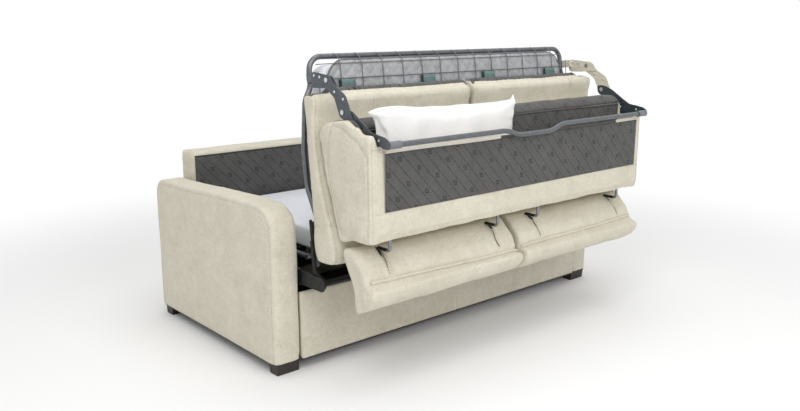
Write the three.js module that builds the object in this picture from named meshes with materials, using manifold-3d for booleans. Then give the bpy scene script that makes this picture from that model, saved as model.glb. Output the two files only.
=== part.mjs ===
import * as THREE from 'three';
import { mergeVertices } from 'three/addons/utils/BufferGeometryUtils.js';
import Module from 'manifold-3d';

// A two-seat sleeper sofa, caught half way through its change from sofa to bed.
// Millimetres. X runs across the sofa, Y from the front to the back and Z upwards.
// The origin is on the floor, under the middle of the part's bounding box.
// The bed, the seats and the backrest hang together on one pivot shaft and stand upright here.
// Sizes called "stack" are given along the seat (from its front edge) and above its underside.

// Clearances
const contactGap = 0.3;
const runningGap = 0.5;
const softGap = 2;
const boreClearance = 1;
const edgeInsetShare = 0.45;
const cornerShare = 0.48;
const cutOverrun = 5;

// Base
const overallWidth = 2000;
const armWidth = 130;
const armDepth = 1010;
const armHeight = 688;
const armFrontRadius = 118;
const armRearRadius = 80;
const armRearDrop = 24;
const armEdgeRadius = 12;
const footHeight = 38;
const footWidth = 100;
const footDepth = 62;
const footInset = 18;
const footTaper = 4;
const boardThickness = 12;
const boardInset = 14;
const railHeight = 329;
const railThickness = 30;
const railEdgeRadius = 9;
const backFront = 867;
const backThickness = 136;
const backHeight = 785;
const backEdgeRadius = 24;
const liningThickness = 3;
const backLiningSideBorder = 14;
const backLiningTopBorder = 27;
const backLiningHeight = 640;
const crossTubeRadius = 12.5;
const crossTubeBehindRail = 9.5;
const crossTubeHeight = 300;

// Stack: where it stands half open, and how it sits closed
const stackFrontY = -74;
const stackFrontZ = 450;
const stackAngle = 83.2;
const pivotAlong = -68;
const pivotAbove = 38;
const pivotBossRadius = 20;
const shaftEndRadius = 8;
const shaftRadius = 13;
const carriageStroke = 97;
const headDrop = 330;

// Side layers, counted inwards from each arm's inner face
const channelBackThickness = 3;
const channelLipThickness = 4;
const channelDepth = 8.7;
const channelFront = 12;
const plateThickness = 4;
const plateLayerStep = 0.5;

// Bed section
const frameTubeRadius = 11;
const frameInset = 105;
const frameNearEdge = 20;
const frameFarEdge = 794;
const frameCornerRadius = 85;
const frameBelow = 50;
const frameWideInset = 48;
const frameDropFrom = 190;
const frameDropTo = 300;
const frameFlareFrom = 440;
const frameKneeAlong = 630;
const frameKneeShare = 0.55;
const frameFlareTo = 680;
const meshBelow = 7;
const wireWidth = 4;
const meshCellWidth = 104;
const meshCellLength = 94;
const meshBorder = 5;
const padThickness = 8;
const padSideInset = 62;
const padNearEdge = 118;
const padFarEdge = 752;
const padCornerRadius = 90;
const mattressThickness = 100;
const mattressSideInset = 22;
const mattressCornerRadius = 70;
const bedMattressNear = 112;
const bedMattressFar = 774;
const mattressEdgeRadius = 16;
const beltWidth = 80;
const beltThickness = 2.5;
const beltInnerShare = 0.245;
const beltOuterShare = 0.81;
const beltNearEdge = 45;
const beltFarEdge = 700;
const sideRailNear = -5;
const sideRailFar = 170;
const sideRailHeight = 16;

// Head section
const headFrameFront = 100;
const headFrameRear = 848;
const headMattressFront = 70;
const headMattressRear = 858;
const headCornerRadius = 60;
const headMeshScale = 2;
const lugWidth = 60;
const lugThickness = 16;
const lugPlace = 520;
const guideBottom = 80;
const guideTop = 470;
const bendDepth = 118;

// Seats
const seatInset = 12;
const seatMiddleGap = 1.5;
const seatLength = 674;
const seatThickness = 134.4;
const seatFrontOverhang = 6;
const seatLift = 6.2;
const seatEdgeRadius = 26;
const seatCrown = 7;

// Backrest and its links
const linkPivotAlong = 698;
const linkPivotAbove = 96;
const backPivotAlong = 576;
const backPivotAbove = 178;
const plateCornerRadius = 14;
const linkPinRadius = 6;
const bracketWidth = 70;
const bracketFootTop = 8;
const cheekThickness = 4.3;
const barAlong = 452.6;
const barAbove = 410.5;
const barRadius = 10;
const barJogDepth = 24;
const barJogHalfWidth = 105;
const barJogRun = 65;
const collarLength = 55;
const collarRadius = 14;
const backInset = 25;
const backRearY = -395;
const backSplitY = -285;
const backBoxBottom = 580;
const backWallTop = 990;
const backPanelTop = 935;
const backPanelThickness = 28;
const pocketFrontWall = 6;
const pocketFloor = 648;
const pocketInset = 80;
const backEdgeSoftness = 26;
const linkSlotDepth = 65;
const backCushionCrown = 73;
const backCushionRise = 24;
const rearLiningInset = 18;
const rearLiningBottom = 703;
const rearLiningTop = 920;
const pillowWidth = 742;
const pillowBottom = 645.6;
const pillowTop = 1045;
const pillowThickness = 68;
const pillowInset = 18;

// Headrests
const headrestInner = 2;
const headrestEdgeRadius = 24;
const headrestDepth = 198;
const headrestHeight = 255;
const headrestRear = -407;
const headrestBottom = 301;
const rodInset = 158;
const rodInnerShare = 0.181;
const rodRadius = 6.5;
const rodY = -350;
const rodTopZ = 616;
const rodBendRadius = 12;
const rodBoreDepth = 40;
const hingeY = -285;
const hingeZ = 541;
const dartHalfWidth = 11.5;
const dartReach = 150;

const innerHalf = overallWidth / 2 - armWidth;
const frameHalfWidth = innerHalf - frameInset;
const frameWideHalf = innerHalf - frameWideInset;
const seatHalfWidth = innerHalf - seatInset;
const backHalfWidth = innerHalf - backInset;
const pocketHalfWidth = innerHalf - pocketInset;
const rodOuterPlace = innerHalf - rodInset;
const rodInnerPlace = rodOuterPlace * rodInnerShare;
const beltInnerPlace = frameHalfWidth * beltInnerShare;
const beltOuterPlace = frameHalfWidth * beltOuterShare;
const sides = { left: -1, right: 1 };
const angle = THREE.MathUtils.degToRad(stackAngle);

const wasm = await Module();
wasm.setup();

const colours = {
  fabric: [0xd2ccbc, 0.95, 0],
  lining: [0x565453, 0.95, 0],
  timber: [0x2a2422, 0.6, 0],
  blackSteel: [0x15181b, 0.45, 0.6],
  greySteel: [0x50545a, 0.4, 0.7],
  tube: [0x7d8084, 0.35, 0.7],
  wire: [0x8c9094, 0.35, 0.8],
  chrome: [0xd0d3d6, 0.1, 1],
  quilt: [0xa5a8a8, 0.5, 0],
  mattress: [0xd8d9de, 0.9, 0],
  pillow: [0xf4f3f1, 0.9, 0],
  belt: [0x5f7a7a, 0.85, 0],
  plastic: [0x6c6f73, 0.5, 0],
};

const sofa = new THREE.Group();
sofa.position.y = -(armDepth + stackPoint(barAlong, barAbove).y - collarRadius) / 2;

const stack = new THREE.Group();
stack.position.set(0, stackFrontY, stackFrontZ);
stack.rotation.x = angle;
sofa.add(stack);

function stackPoint(along, above) {
  return {
    y: stackFrontY + along * Math.cos(angle) - above * Math.sin(angle),
    z: stackFrontZ + along * Math.sin(angle) + above * Math.cos(angle),
  };
}

function addPart(name, geometry, finish, parent = sofa) {
  const [color, roughness, metalness] = colours[finish];
  const mesh = new THREE.Mesh(geometry, new THREE.MeshStandardMaterial({ color, roughness, metalness }));
  mesh.name = name;
  parent.add(mesh);
  return mesh;
}

// Turns a shape drawn in Y and Z, and extruded, to run along X from one place to another
function alongX(shape, from, to, options = {}) {
  const bevel = options.bevel ?? 0;
  const geometry = new THREE.ExtrudeGeometry(shape, {
    depth: to - from - 2 * bevel,
    bevelEnabled: bevel > 0,
    bevelThickness: bevel,
    bevelSize: bevel,
    bevelOffset: -bevel,
    bevelSegments: 2,
    steps: 1,
    curveSegments: options.curveSegments ?? 5,
  });
  geometry.translate(0, 0, from + bevel);
  const turn = new THREE.Matrix4().set(0, 0, 1, 0, 1, 0, 0, 0, 0, 1, 0, 0, 0, 0, 0, 1);
  return geometry.applyMatrix4(turn);
}

// Extrudes a shape drawn in X and Y upwards
function alongZ(shape, from, to, options = {}) {
  const bevel = options.bevel ?? 0;
  const geometry = new THREE.ExtrudeGeometry(shape, {
    depth: to - from - 2 * bevel,
    bevelEnabled: bevel > 0,
    bevelThickness: bevel,
    bevelSize: bevel,
    bevelOffset: -bevel,
    bevelSegments: 2,
    steps: 1,
    curveSegments: options.curveSegments ?? 5,
  });
  return geometry.translate(0, 0, from + bevel);
}

// A plain box between two corners
function box(x0, x1, y0, y1, z0, z1) {
  const geometry = new THREE.BoxGeometry(x1 - x0, y1 - y0, z1 - z0);
  return geometry.translate((x0 + x1) / 2, (y0 + y1) / 2, (z0 + z1) / 2);
}

// Puts a piece drawn on the right side on either side
function onSide(side, inner, outer) {
  return side > 0 ? [inner, outer] : [-outer, -inner];
}

// A polygon with rounded corners
function roundedShape(points, radius) {
  const shape = new THREE.Shape();
  points.forEach(([a, b], index) => {
    const [pa, pb] = points[(index + points.length - 1) % points.length];
    const [na, nb] = points[(index + 1) % points.length];
    const before = Math.hypot(pa - a, pb - b);
    const after = Math.hypot(na - a, nb - b);
    const cut = Math.min(radius, before * cornerShare, after * cornerShare);
    const start = [a + ((pa - a) * cut) / before, b + ((pb - b) * cut) / before];
    const end = [a + ((na - a) * cut) / after, b + ((nb - b) * cut) / after];
    if (index === 0) {
      shape.moveTo(...start);
    } else {
      shape.lineTo(...start);
    }
    shape.quadraticCurveTo(a, b, ...end);
  });
  return shape;
}

function rectangle(a0, a1, b0, b1) {
  return [[a0, b0], [a1, b0], [a1, b1], [a0, b1]];
}

// A rod or tube along a list of points
class Route extends THREE.Curve {
  constructor(points) {
    super();
    this.points = points;
  }

  getPoint(t, target = new THREE.Vector3()) {
    const place = THREE.MathUtils.clamp(t, 0, 1) * (this.points.length - 1);
    const index = Math.min(Math.floor(place), this.points.length - 2);
    return target.copy(this.points[index]).lerp(this.points[index + 1], place - index);
  }

  getPointAt(t, target) {
    return this.getPoint(t, target);
  }

  // Halfway between the directions of the two stretches that meet at a point
  getTangentAt(t, target = new THREE.Vector3()) {
    const index = Math.round(t * (this.points.length - 1));
    const here = this.points[index];
    const before = this.points[Math.max(index - 1, 0)];
    const after = this.points[Math.min(index + 1, this.points.length - 1)];
    const arriving = here.clone().sub(before).normalize();
    const leaving = after.clone().sub(here).normalize();
    return target.copy(arriving).add(leaving).normalize();
  }
}

function tube(points, radius, sideCount) {
  const section = new THREE.Shape();
  for (let index = 0; index < sideCount; index += 1) {
    const turn = (index / sideCount) * Math.PI * 2;
    const place = [radius * Math.cos(turn), radius * Math.sin(turn)];
    if (index === 0) {
      section.moveTo(...place);
    } else {
      section.lineTo(...place);
    }
  }
  section.closePath();
  return new THREE.ExtrudeGeometry(section, {
    steps: points.length - 1,
    extrudePath: new Route(points),
    bevelEnabled: false,
  });
}

// Rounds the corners of a route with arcs of a few steps
function roundedRoute(corners, radius, steps) {
  const route = [corners[0]];
  for (let index = 1; index < corners.length - 1; index += 1) {
    const corner = corners[index];
    const before = corners[index - 1].clone().sub(corner);
    const after = corners[index + 1].clone().sub(corner);
    const half = before.angleTo(after) / 2;
    const reach = radius / Math.tan(half);
    before.normalize();
    after.normalize();
    const centre = before.clone().add(after).normalize().multiplyScalar(radius / Math.sin(half)).add(corner);
    const start = corner.clone().addScaledVector(before, reach).sub(centre);
    const end = corner.clone().addScaledVector(after, reach).sub(centre);
    const sweep = start.angleTo(end);
    for (let step = 0; step <= steps; step += 1) {
      const t = step / steps;
      const first = Math.sin((1 - t) * sweep) / Math.sin(sweep);
      const second = Math.sin(t * sweep) / Math.sin(sweep);
      route.push(start.clone().multiplyScalar(first).addScaledVector(end, second).add(centre));
    }
  }
  route.push(corners[corners.length - 1]);
  return route;
}

function cylinderX(radius, from, to, y, z, sideCount = 16) {
  const geometry = new THREE.CylinderGeometry(radius, radius, to - from, sideCount);
  return geometry.rotateZ(-Math.PI / 2).translate((from + to) / 2, y, z);
}

function toSolid(geometry) {
  const bare = geometry.clone();
  bare.deleteAttribute('normal');
  bare.deleteAttribute('uv');
  const merged = mergeVertices(bare);
  return new wasm.Manifold(new wasm.Mesh({
    numProp: 3,
    vertProperties: new Float32Array(merged.attributes.position.array),
    triVerts: new Uint32Array(merged.index.array),
  }));
}

function toGeometry(solid) {
  const mesh = solid.getMesh();
  const geometry = new THREE.BufferGeometry();
  geometry.setAttribute('position', new THREE.BufferAttribute(mesh.vertProperties, 3));
  geometry.setIndex(new THREE.BufferAttribute(mesh.triVerts, 1));
  return geometry;
}

function join(first, ...others) {
  return toGeometry(others.reduce((solid, other) => solid.add(toSolid(other)), toSolid(first)));
}

function cut(first, ...others) {
  return toGeometry(others.reduce((solid, other) => solid.subtract(toSolid(other)), toSolid(first)));
}

// A flat plate on one side of the sofa, with bores across it
function plateGeometry(points, radius, side, [inner, outer], bores) {
  const plate = alongX(roundedShape(points, radius), ...onSide(side, inner, outer), { curveSegments: 4 });
  const reach = overallWidth / 2;
  return cut(plate, ...bores.map(([y, z, boreRadius]) => cylinderX(boreRadius, -reach, reach, y, z, 12)));
}

function keep(first, second) {
  return toGeometry(toSolid(first).intersect(toSolid(second)));
}

// Smooths a closed outline, given in shares of a length and a height, into evenly spread points
function smoothOutline(shares, length, height, count) {
  const curve = new THREE.CatmullRomCurve3(
    shares.map(([a, b]) => new THREE.Vector3(a * length, b * height, 0)),
    true,
    'centripetal',
  );
  return curve.getSpacedPoints(count).slice(0, count).map((point) => [point.x, point.y]);
}

// Moves an outline inwards by a distance along its own normals
function insetOutline(outline, distance) {
  const count = outline.length;
  let area = 0;
  outline.forEach(([a, b], index) => {
    const [na, nb] = outline[(index + 1) % count];
    area += a * nb - na * b;
  });
  const turn = Math.sign(area);
  return outline.map(([a, b], index) => {
    const [pa, pb] = outline[(index + count - 1) % count];
    const [na, nb] = outline[(index + 1) % count];
    const length = Math.hypot(na - pa, nb - pb);
    return [a - (turn * (nb - pb) * distance) / length, b + (turn * (na - pa) * distance) / length];
  });
}

// A padded form: one outline in Y and Z carried along X, drawn in towards both ends.
// The swell function moves a point outwards in the middle of the width.
function paddedForm(outline, from, to, edgeRadius, swell) {
  const roundShares = [0, 0.13, 0.45, 1];
  const middleShares = [0.25, 0.5, 0.75];
  const stations = [];
  roundShares.forEach((share) => stations.push({ x: from + share * edgeRadius, share }));
  middleShares.forEach((share) => stations.push({ x: from + share * (to - from), share: 1 }));
  roundShares.slice().reverse().forEach((share) => stations.push({ x: to - share * edgeRadius, share }));
  const contour = outline.map(([y, z]) => new THREE.Vector2(y, z));
  const ordered = THREE.ShapeUtils.isClockWise(contour) ? outline.slice().reverse() : outline;
  const rings = stations.map(({ x, share }) => {
    const inset = edgeInsetShare * edgeRadius * (1 - Math.sqrt(1 - (1 - share) ** 2));
    const across = (2 * (x - from)) / (to - from) - 1;
    return insetOutline(ordered, inset).map(([y, z]) => {
      const [dy, dz] = swell ? swell(across, y, z) : [0, 0];
      return [x, y + dy, z + dz];
    });
  });
  return loft(rings);
}

// Joins rings of equal length, each running anticlockwise, into one closed skin
function loft(rings) {
  const count = rings[0].length;
  const points = rings.flat();
  const faces = [];
  for (let ring = 0; ring < rings.length - 1; ring += 1) {
    for (let index = 0; index < count; index += 1) {
      const next = (index + 1) % count;
      const a = ring * count + index;
      const b = ring * count + next;
      faces.push(a, b, a + count, b, b + count, a + count);
    }
  }
  const contour = rings[0].map(([, y, z]) => new THREE.Vector2(y, z));
  const last = (rings.length - 1) * count;
  THREE.ShapeUtils.triangulateShape(contour, []).forEach(([a, b, c]) => {
    faces.push(a, c, b);
    faces.push(last + a, last + b, last + c);
  });
  const geometry = new THREE.BufferGeometry();
  geometry.setAttribute('position', new THREE.Float32BufferAttribute(points.flat(), 3));
  geometry.setIndex(faces);
  return geometry;
}

// Base

function armGeometry(side) {
  const shape = new THREE.Shape();
  const bottom = footHeight + boardThickness + contactGap;
  const rearTop = armHeight - armRearDrop;
  shape.moveTo(0, bottom);
  shape.lineTo(0, armHeight - armFrontRadius);
  shape.quadraticCurveTo(0, armHeight, armFrontRadius * 1.25, armHeight);
  shape.bezierCurveTo(armDepth * 0.4, armHeight, armDepth * 0.7, rearTop, armDepth - armRearRadius, rearTop);
  shape.quadraticCurveTo(armDepth, rearTop, armDepth, rearTop - armRearRadius);
  shape.lineTo(armDepth, bottom);
  shape.closePath();
  const [from, to] = onSide(side, innerHalf, overallWidth / 2);
  return alongX(shape, from, to, { bevel: armEdgeRadius, curveSegments: 7 });
}

function footGeometry(side, front) {
  const [from, to] = onSide(side, overallWidth / 2 - footInset - footWidth, overallWidth / 2 - footInset);
  const y0 = front ? footInset - footTaper : armDepth - footInset - footDepth;
  const y1 = y0 + footDepth;
  const z1 = footHeight - contactGap;
  const outline = [[y0 + footTaper, 0], [y1 - footTaper, 0], [y1, z1], [y0, z1]];
  return alongX(roundedShape(outline, 0), from, to);
}

function addBase() {
  const shellBottom = footHeight + boardThickness + contactGap;
  const spanHalf = innerHalf - contactGap;
  Object.entries(sides).forEach(([name, side]) => {
    addPart(`arm_${name}`, armGeometry(side), 'fabric');
    addPart(`front_foot_${name}`, footGeometry(side, true), 'timber');
    addPart(`rear_foot_${name}`, footGeometry(side, false), 'timber');
  });
  const boardHalf = overallWidth / 2 - boardInset;
  const boardRear = armDepth - boardInset;
  addPart(
    'bottom_board',
    box(-boardHalf, boardHalf, boardInset, boardRear, footHeight, footHeight + boardThickness),
    'timber',
  );
  const backRear = backFront + backThickness;
  const backOutline = rectangle(backFront, backRear, shellBottom, backHeight);
  addPart(
    'fixed_back',
    alongX(roundedShape(backOutline, backEdgeRadius), -spanHalf, spanHalf, { bevel: backEdgeRadius / 2 }),
    'fabric',
  );
  const liningHalf = spanHalf - backLiningSideBorder;
  const liningFront = backFront - contactGap - liningThickness;
  const liningTop = backHeight - backLiningTopBorder;
  addPart(
    'back_lining',
    box(
      -liningHalf, liningHalf, liningFront, backFront - contactGap,
      liningTop - backLiningHeight, liningTop,
    ),
    'lining',
  );
  const railOutline = rectangle(0, railThickness, shellBottom, railHeight);
  addPart('front_rail', alongX(roundedShape(railOutline, railEdgeRadius), -spanHalf, spanHalf), 'fabric');
  const tubeY = railThickness + crossTubeBehindRail + crossTubeRadius;
  addPart(
    'base_cross_tube',
    cylinderX(crossTubeRadius, -spanHalf, spanHalf, tubeY, crossTubeHeight, 12),
    'blackSteel',
  );
}

// Carriages, their channels and the pivot shaft

const pivot = stackPoint(pivotAlong, pivotAbove);
const carriageHalfHeight = 1.4 * pivotBossRadius;
const carriageRear = 3 * carriageStroke;
const channelOuter = innerHalf - contactGap;
const channelInner = channelOuter - channelDepth;
const carriageOuter = channelOuter - channelBackThickness - plateLayerStep;
const carriageInner = carriageOuter - plateThickness;
const cradleOuter = channelInner - 2 * plateLayerStep;
const cradleInner = cradleOuter - plateThickness;
const bracketOuter = cradleInner - plateLayerStep;
const bracketInner = bracketOuter - plateThickness;
const sideRailOuter = bracketInner - contactGap;

function channelGeometry(side) {
  const [from, to] = onSide(side, channelInner, channelOuter);
  const half = carriageHalfHeight + runningGap + channelLipThickness;
  const rear = carriageRear + carriageStroke;
  const whole = box(from, to, channelFront, rear, pivot.z - half, pivot.z + half);
  const [hollowFrom, hollowTo] = onSide(side, channelInner - cutOverrun, channelOuter - channelBackThickness);
  const hollowHalf = carriageHalfHeight + runningGap;
  const hollow = box(
    hollowFrom, hollowTo, channelFront - cutOverrun, rear + cutOverrun,
    pivot.z - hollowHalf, pivot.z + hollowHalf,
  );
  return cut(whole, hollow);
}

function carriageGeometry(side) {
  const low = pivot.z - carriageHalfHeight;
  const high = pivot.z + carriageHalfHeight;
  const front = pivot.y - carriageHalfHeight;
  const outline = rectangle(front, carriageRear - carriageHalfHeight, low, high);
  const bore = [pivot.y, pivot.z, shaftEndRadius + boreClearance];
  return plateGeometry(outline, carriageHalfHeight, side, [carriageInner, carriageOuter], [bore]);
}

function shaftGeometry() {
  const end = carriageOuter;
  const shoulder = bracketInner - runningGap;
  const profile = [
    [0, -end], [shaftEndRadius, -end], [shaftEndRadius, -shoulder], [shaftRadius, -shoulder],
    [shaftRadius, shoulder], [shaftEndRadius, shoulder], [shaftEndRadius, end], [0, end],
  ];
  const points = profile.map(([radius, height]) => new THREE.Vector2(radius, height));
  const geometry = new THREE.LatheGeometry(points, 16);
  return geometry.rotateZ(Math.PI / 2).translate(0, pivotAlong, pivotAbove);
}

const shaftBore = [pivotAlong, pivotAbove, shaftEndRadius + boreClearance];

function cradleGeometry(side) {
  const underSeat = seatLift - 1.6;
  const low = -pivotBossRadius * 0.6;
  const tip = 5 * pivotBossRadius;
  const boss = pivotBossRadius;
  const outline = [
    [pivotAlong - boss, pivotAbove + boss],
    [pivotAlong + boss, pivotAbove + boss],
    [pivotAlong + 2.4 * boss, underSeat],
    [tip, underSeat],
    [tip, low],
    [pivotAlong + 1.8 * boss, low],
    [pivotAlong - boss, pivotAbove - 0.7 * boss],
  ];
  return plateGeometry(outline, 0.8 * boss, side, [cradleInner, cradleOuter], [shaftBore]);
}

function bedBracketGeometry(side) {
  const underSeat = seatLift - 1.6;
  const low = -pivotBossRadius * 0.6;
  const tip = 9 * pivotBossRadius;
  const boss = pivotBossRadius;
  const outline = [
    [pivotAlong - boss, pivotAbove + boss],
    [pivotAlong + boss, pivotAbove + boss],
    [pivotAlong + 2.4 * boss, underSeat],
    [tip, underSeat],
    [tip, low],
    [pivotAlong + 1.8 * boss, low],
    [pivotAlong - boss, pivotAbove - 0.7 * boss],
  ];
  return plateGeometry(outline, 0.8 * boss, side, [bracketInner, bracketOuter], [shaftBore]);
}

function guideGeometry(side) {
  const half = lugWidth / 2 + contactGap;
  const [from, to] = onSide(side, channelInner, channelOuter);
  const whole = box(
    from, to, lugPlace - half - channelLipThickness, lugPlace + half + channelLipThickness,
    guideBottom, guideTop,
  );
  const [hollowFrom, hollowTo] = onSide(side, channelInner - cutOverrun, channelOuter - channelBackThickness);
  const hollow = box(
    hollowFrom, hollowTo, lugPlace - half, lugPlace + half,
    guideBottom - cutOverrun, guideTop + cutOverrun,
  );
  return cut(whole, hollow);
}

function addMechanism() {
  Object.entries(sides).forEach(([name, side]) => {
    addPart(`side_channel_${name}`, channelGeometry(side), 'blackSteel');
    addPart(`guide_rail_${name}`, guideGeometry(side), 'blackSteel');
    addPart(`carriage_${name}`, carriageGeometry(side), 'blackSteel');
    addPart(`cradle_plate_${name}`, cradleGeometry(side), 'blackSteel', stack);
    addPart(`bed_bracket_${name}`, bedBracketGeometry(side), 'blackSteel', stack);
  });
  addPart('pivot_shaft', shaftGeometry(), 'blackSteel', stack);
}

// Bed section, drawn lying flat in the stack's own axes

// Half of a bow of tube as places across, along and above; the other half mirrors it
function bowGeometry(places, radius) {
  const left = places.map(([x, along, above]) => new THREE.Vector3(-x, along, above));
  const right = places.map(([x, along, above]) => new THREE.Vector3(x, along, above)).reverse();
  return tube(roundedRoute([...left, ...right], frameCornerRadius, 7), radius, 10);
}

// The bed's bow stands back from the net round the mattress and widens beside the seats
function bedBow(radius) {
  const knee = THREE.MathUtils.lerp(frameHalfWidth, frameWideHalf, frameKneeShare);
  return bowGeometry([
    [frameWideHalf, frameNearEdge, -meshBelow],
    [frameWideHalf, frameDropFrom, -meshBelow],
    [frameWideHalf, frameDropTo, -frameBelow],
    [frameWideHalf, frameFlareFrom, -frameBelow],
    [knee, frameKneeAlong, -frameBelow],
    [frameHalfWidth, frameFlareTo, -frameBelow],
    [frameHalfWidth, frameFarEdge, -frameBelow],
  ], radius);
}

function bedFrameGeometry() {
  const reach = frameWideHalf + frameTubeRadius;
  const nearTube = cylinderX(frameTubeRadius, -reach, reach, frameNearEdge, -meshBelow, 10);
  return join(bedBow(frameTubeRadius), nearTube);
}

function headFrameGeometry(height, lugs) {
  const bow = bowGeometry([
    [frameHalfWidth, headFrameFront, height],
    [frameHalfWidth, headFrameRear, height],
  ], frameTubeRadius);
  const reach = frameHalfWidth + frameTubeRadius;
  const nearTube = cylinderX(frameTubeRadius, -reach, reach, headFrameFront, height, 10);
  return join(bow, nearTube, ...lugs);
}

// A flat wire net with a wire border that follows the inside of the frame.
// Its lengthways wires turn down at the far end, over the frame's own depth below the net.
function netGeometry(near, far, height, cellScale, depth) {
  const inset = frameTubeRadius + contactGap;
  const half = frameHalfWidth - inset;
  const first = near + inset;
  const last = far - inset;
  const radius = frameCornerRadius - inset;
  const low = height - wireWidth / 2;
  const high = height + wireWidth / 2;
  const outerShape = bedOutline(half, first, last, radius);
  const innerShape = bedOutline(half - meshBorder, first + meshBorder, last - meshBorder, radius - meshBorder);
  const rim = cut(alongZ(outerShape, low, high), alongZ(innerShape, low - cutOverrun, high + cutOverrun));
  const columns = Math.round((2 * half) / (meshCellWidth * cellScale));
  const rows = Math.round((last - first) / (meshCellLength * cellScale));
  const stepX = (2 * half) / columns;
  const stepY = (last - first) / rows;
  const wires = [];
  for (let column = 1; column < columns; column += 1) {
    const x = -half + column * stepX;
    wires.push(box(x - wireWidth / 2, x + wireWidth / 2, first, last, low, high));
  }
  for (let row = 1; row < rows; row += 1) {
    const y = first + row * stepY;
    wires.push(box(-half, half, y - wireWidth / 2, y + wireWidth / 2, low, high));
  }
  const reach = alongZ(outerShape, low - cutOverrun, high + cutOverrun);
  const net = join(rim, keep(join(...wires), reach));
  return depth > 0 ? join(net, ...netHooks(half, last, columns, low, depth)) : net;
}

function netHooks(half, last, columns, low, depth) {
  const hooks = [];
  for (let column = 1; column < columns; column += 1) {
    const x = -half + (column * 2 * half) / columns;
    hooks.push(box(x - wireWidth / 2, x + wireWidth / 2, last - wireWidth, last, low - depth, low + wireWidth / 2));
  }
  return hooks;
}

// A rectangle with two round far corners
function bedOutline(half, near, far, radius) {
  const shape = new THREE.Shape();
  shape.moveTo(-half, near);
  shape.lineTo(half, near);
  shape.lineTo(half, far - radius);
  shape.absarc(half - radius, far - radius, radius, 0, Math.PI / 2, false);
  shape.absarc(radius - half, far - radius, radius, Math.PI / 2, Math.PI, false);
  shape.closePath();
  return shape;
}

const meshTop = wireWidth / 2 - meshBelow;
const meshBottom = meshTop - wireWidth;
const mattressTop = -meshBelow - frameTubeRadius - contactGap;
const mattressHalf = frameHalfWidth - mattressSideInset;

// The block that joins the frame's tube to the plate on the shaft
function sideRailGeometry(side) {
  const [from, to] = onSide(side, frameWideHalf + frameTubeRadius + contactGap, sideRailOuter);
  const top = sideRailHeight / 2 - meshBelow;
  return box(from, to, sideRailNear, sideRailFar, top - sideRailHeight, top);
}

// Four flat straps on one cross strap
function beltGeometry() {
  const low = meshTop + contactGap;
  const places = [-beltOuterPlace, -beltInnerPlace, beltInnerPlace, beltOuterPlace];
  const belts = places.map((place) => box(
    place - beltWidth / 2, place + beltWidth / 2, beltNearEdge, beltFarEdge, low, low + beltThickness,
  ));
  const reach = beltOuterPlace + beltWidth / 2;
  const cross = box(-reach, reach, beltNearEdge, beltNearEdge + beltWidth / 3, low, low + beltThickness);
  return join(cross, ...belts);
}

function addBed() {
  addPart('bed_frame', bedFrameGeometry(), 'tube', stack);
  const netDepth = frameBelow - meshBelow;
  addPart('bed_mesh', netGeometry(frameNearEdge, frameFarEdge, -meshBelow, 1, netDepth), 'wire', stack);
  const padHalf = frameHalfWidth - padSideInset;
  const padTop = meshBottom - contactGap;
  addPart(
    'quilted_pad',
    alongZ(bedOutline(padHalf, padNearEdge, padFarEdge, padCornerRadius), padTop - padThickness, padTop),
    'quilt',
    stack,
  );
  const bedTop = Math.min(mattressTop, padTop - padThickness - contactGap);
  addPart(
    'bed_mattress',
    alongZ(
      bedOutline(mattressHalf, bedMattressNear, bedMattressFar, mattressCornerRadius),
      bedTop - mattressThickness,
      bedTop,
      { bevel: mattressEdgeRadius },
    ),
    'mattress',
    stack,
  );
  addPart('elastic_belts', beltGeometry(), 'belt', stack);
  Object.entries(sides).forEach(([name, side]) => {
    addPart(`side_rail_${name}`, sideRailGeometry(side), 'tube', stack);
  });
}

// Seats

const seatOutlineShares = [
  [0.068, 0.003], [0.38, 0.003], [0.72, 0.003], [0.96, 0.01], [0.996, 0.06], [0.99, 0.36],
  [0.976, 0.6], [0.962, 0.65], [0.929, 0.62], [0.855, 0.501], [0.76, 0.442], [0.632, 0.472],
  [0.506, 0.531], [0.395, 0.65], [0.313, 0.725], [0.221, 0.873], [0.151, 0.933], [0.098, 1],
  [0.039, 0.993], [0.009, 0.896], [0, 0.71], [0.009, 0.412], [0.015, 0.07],
];

function seatGeometry(side) {
  const outline = smoothOutline(seatOutlineShares, seatLength, seatThickness, 46)
    .map(([a, b]) => [a - seatFrontOverhang, b + seatLift]);
  const [from, to] = onSide(side, seatMiddleGap, seatHalfWidth);
  const swell = (across, y, z) => {
    const high = THREE.MathUtils.clamp((z - seatLift) / seatThickness, 0, 1);
    return [0, -seatCrown * high * across ** 2];
  };
  return paddedForm(outline, from, to, seatEdgeRadius, swell);
}

function addSeats() {
  Object.entries(sides).forEach(([name, side]) => {
    addPart(`seat_${name}`, seatGeometry(side), 'fabric', stack);
  });
}

// Backrest links, on three layers outside the frame's tube

const wallInner = pocketHalfWidth;
const cheekOuter = wallInner - contactGap;
const cheekInner = cheekOuter - cheekThickness;
const linkInner = cheekOuter + runningGap;
const linkOuter = linkInner + plateThickness;

// Outlines in shares of the bracket's width and of its pivot's height above the tube's lower side
const bracketOutlineShares = [
  [0.53, 0.427], [0.157, 1.223], [-0.443, 1.369], [-0.4, 0.76], [-0.314, 0.338], [0.1, 0.306],
];

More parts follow.
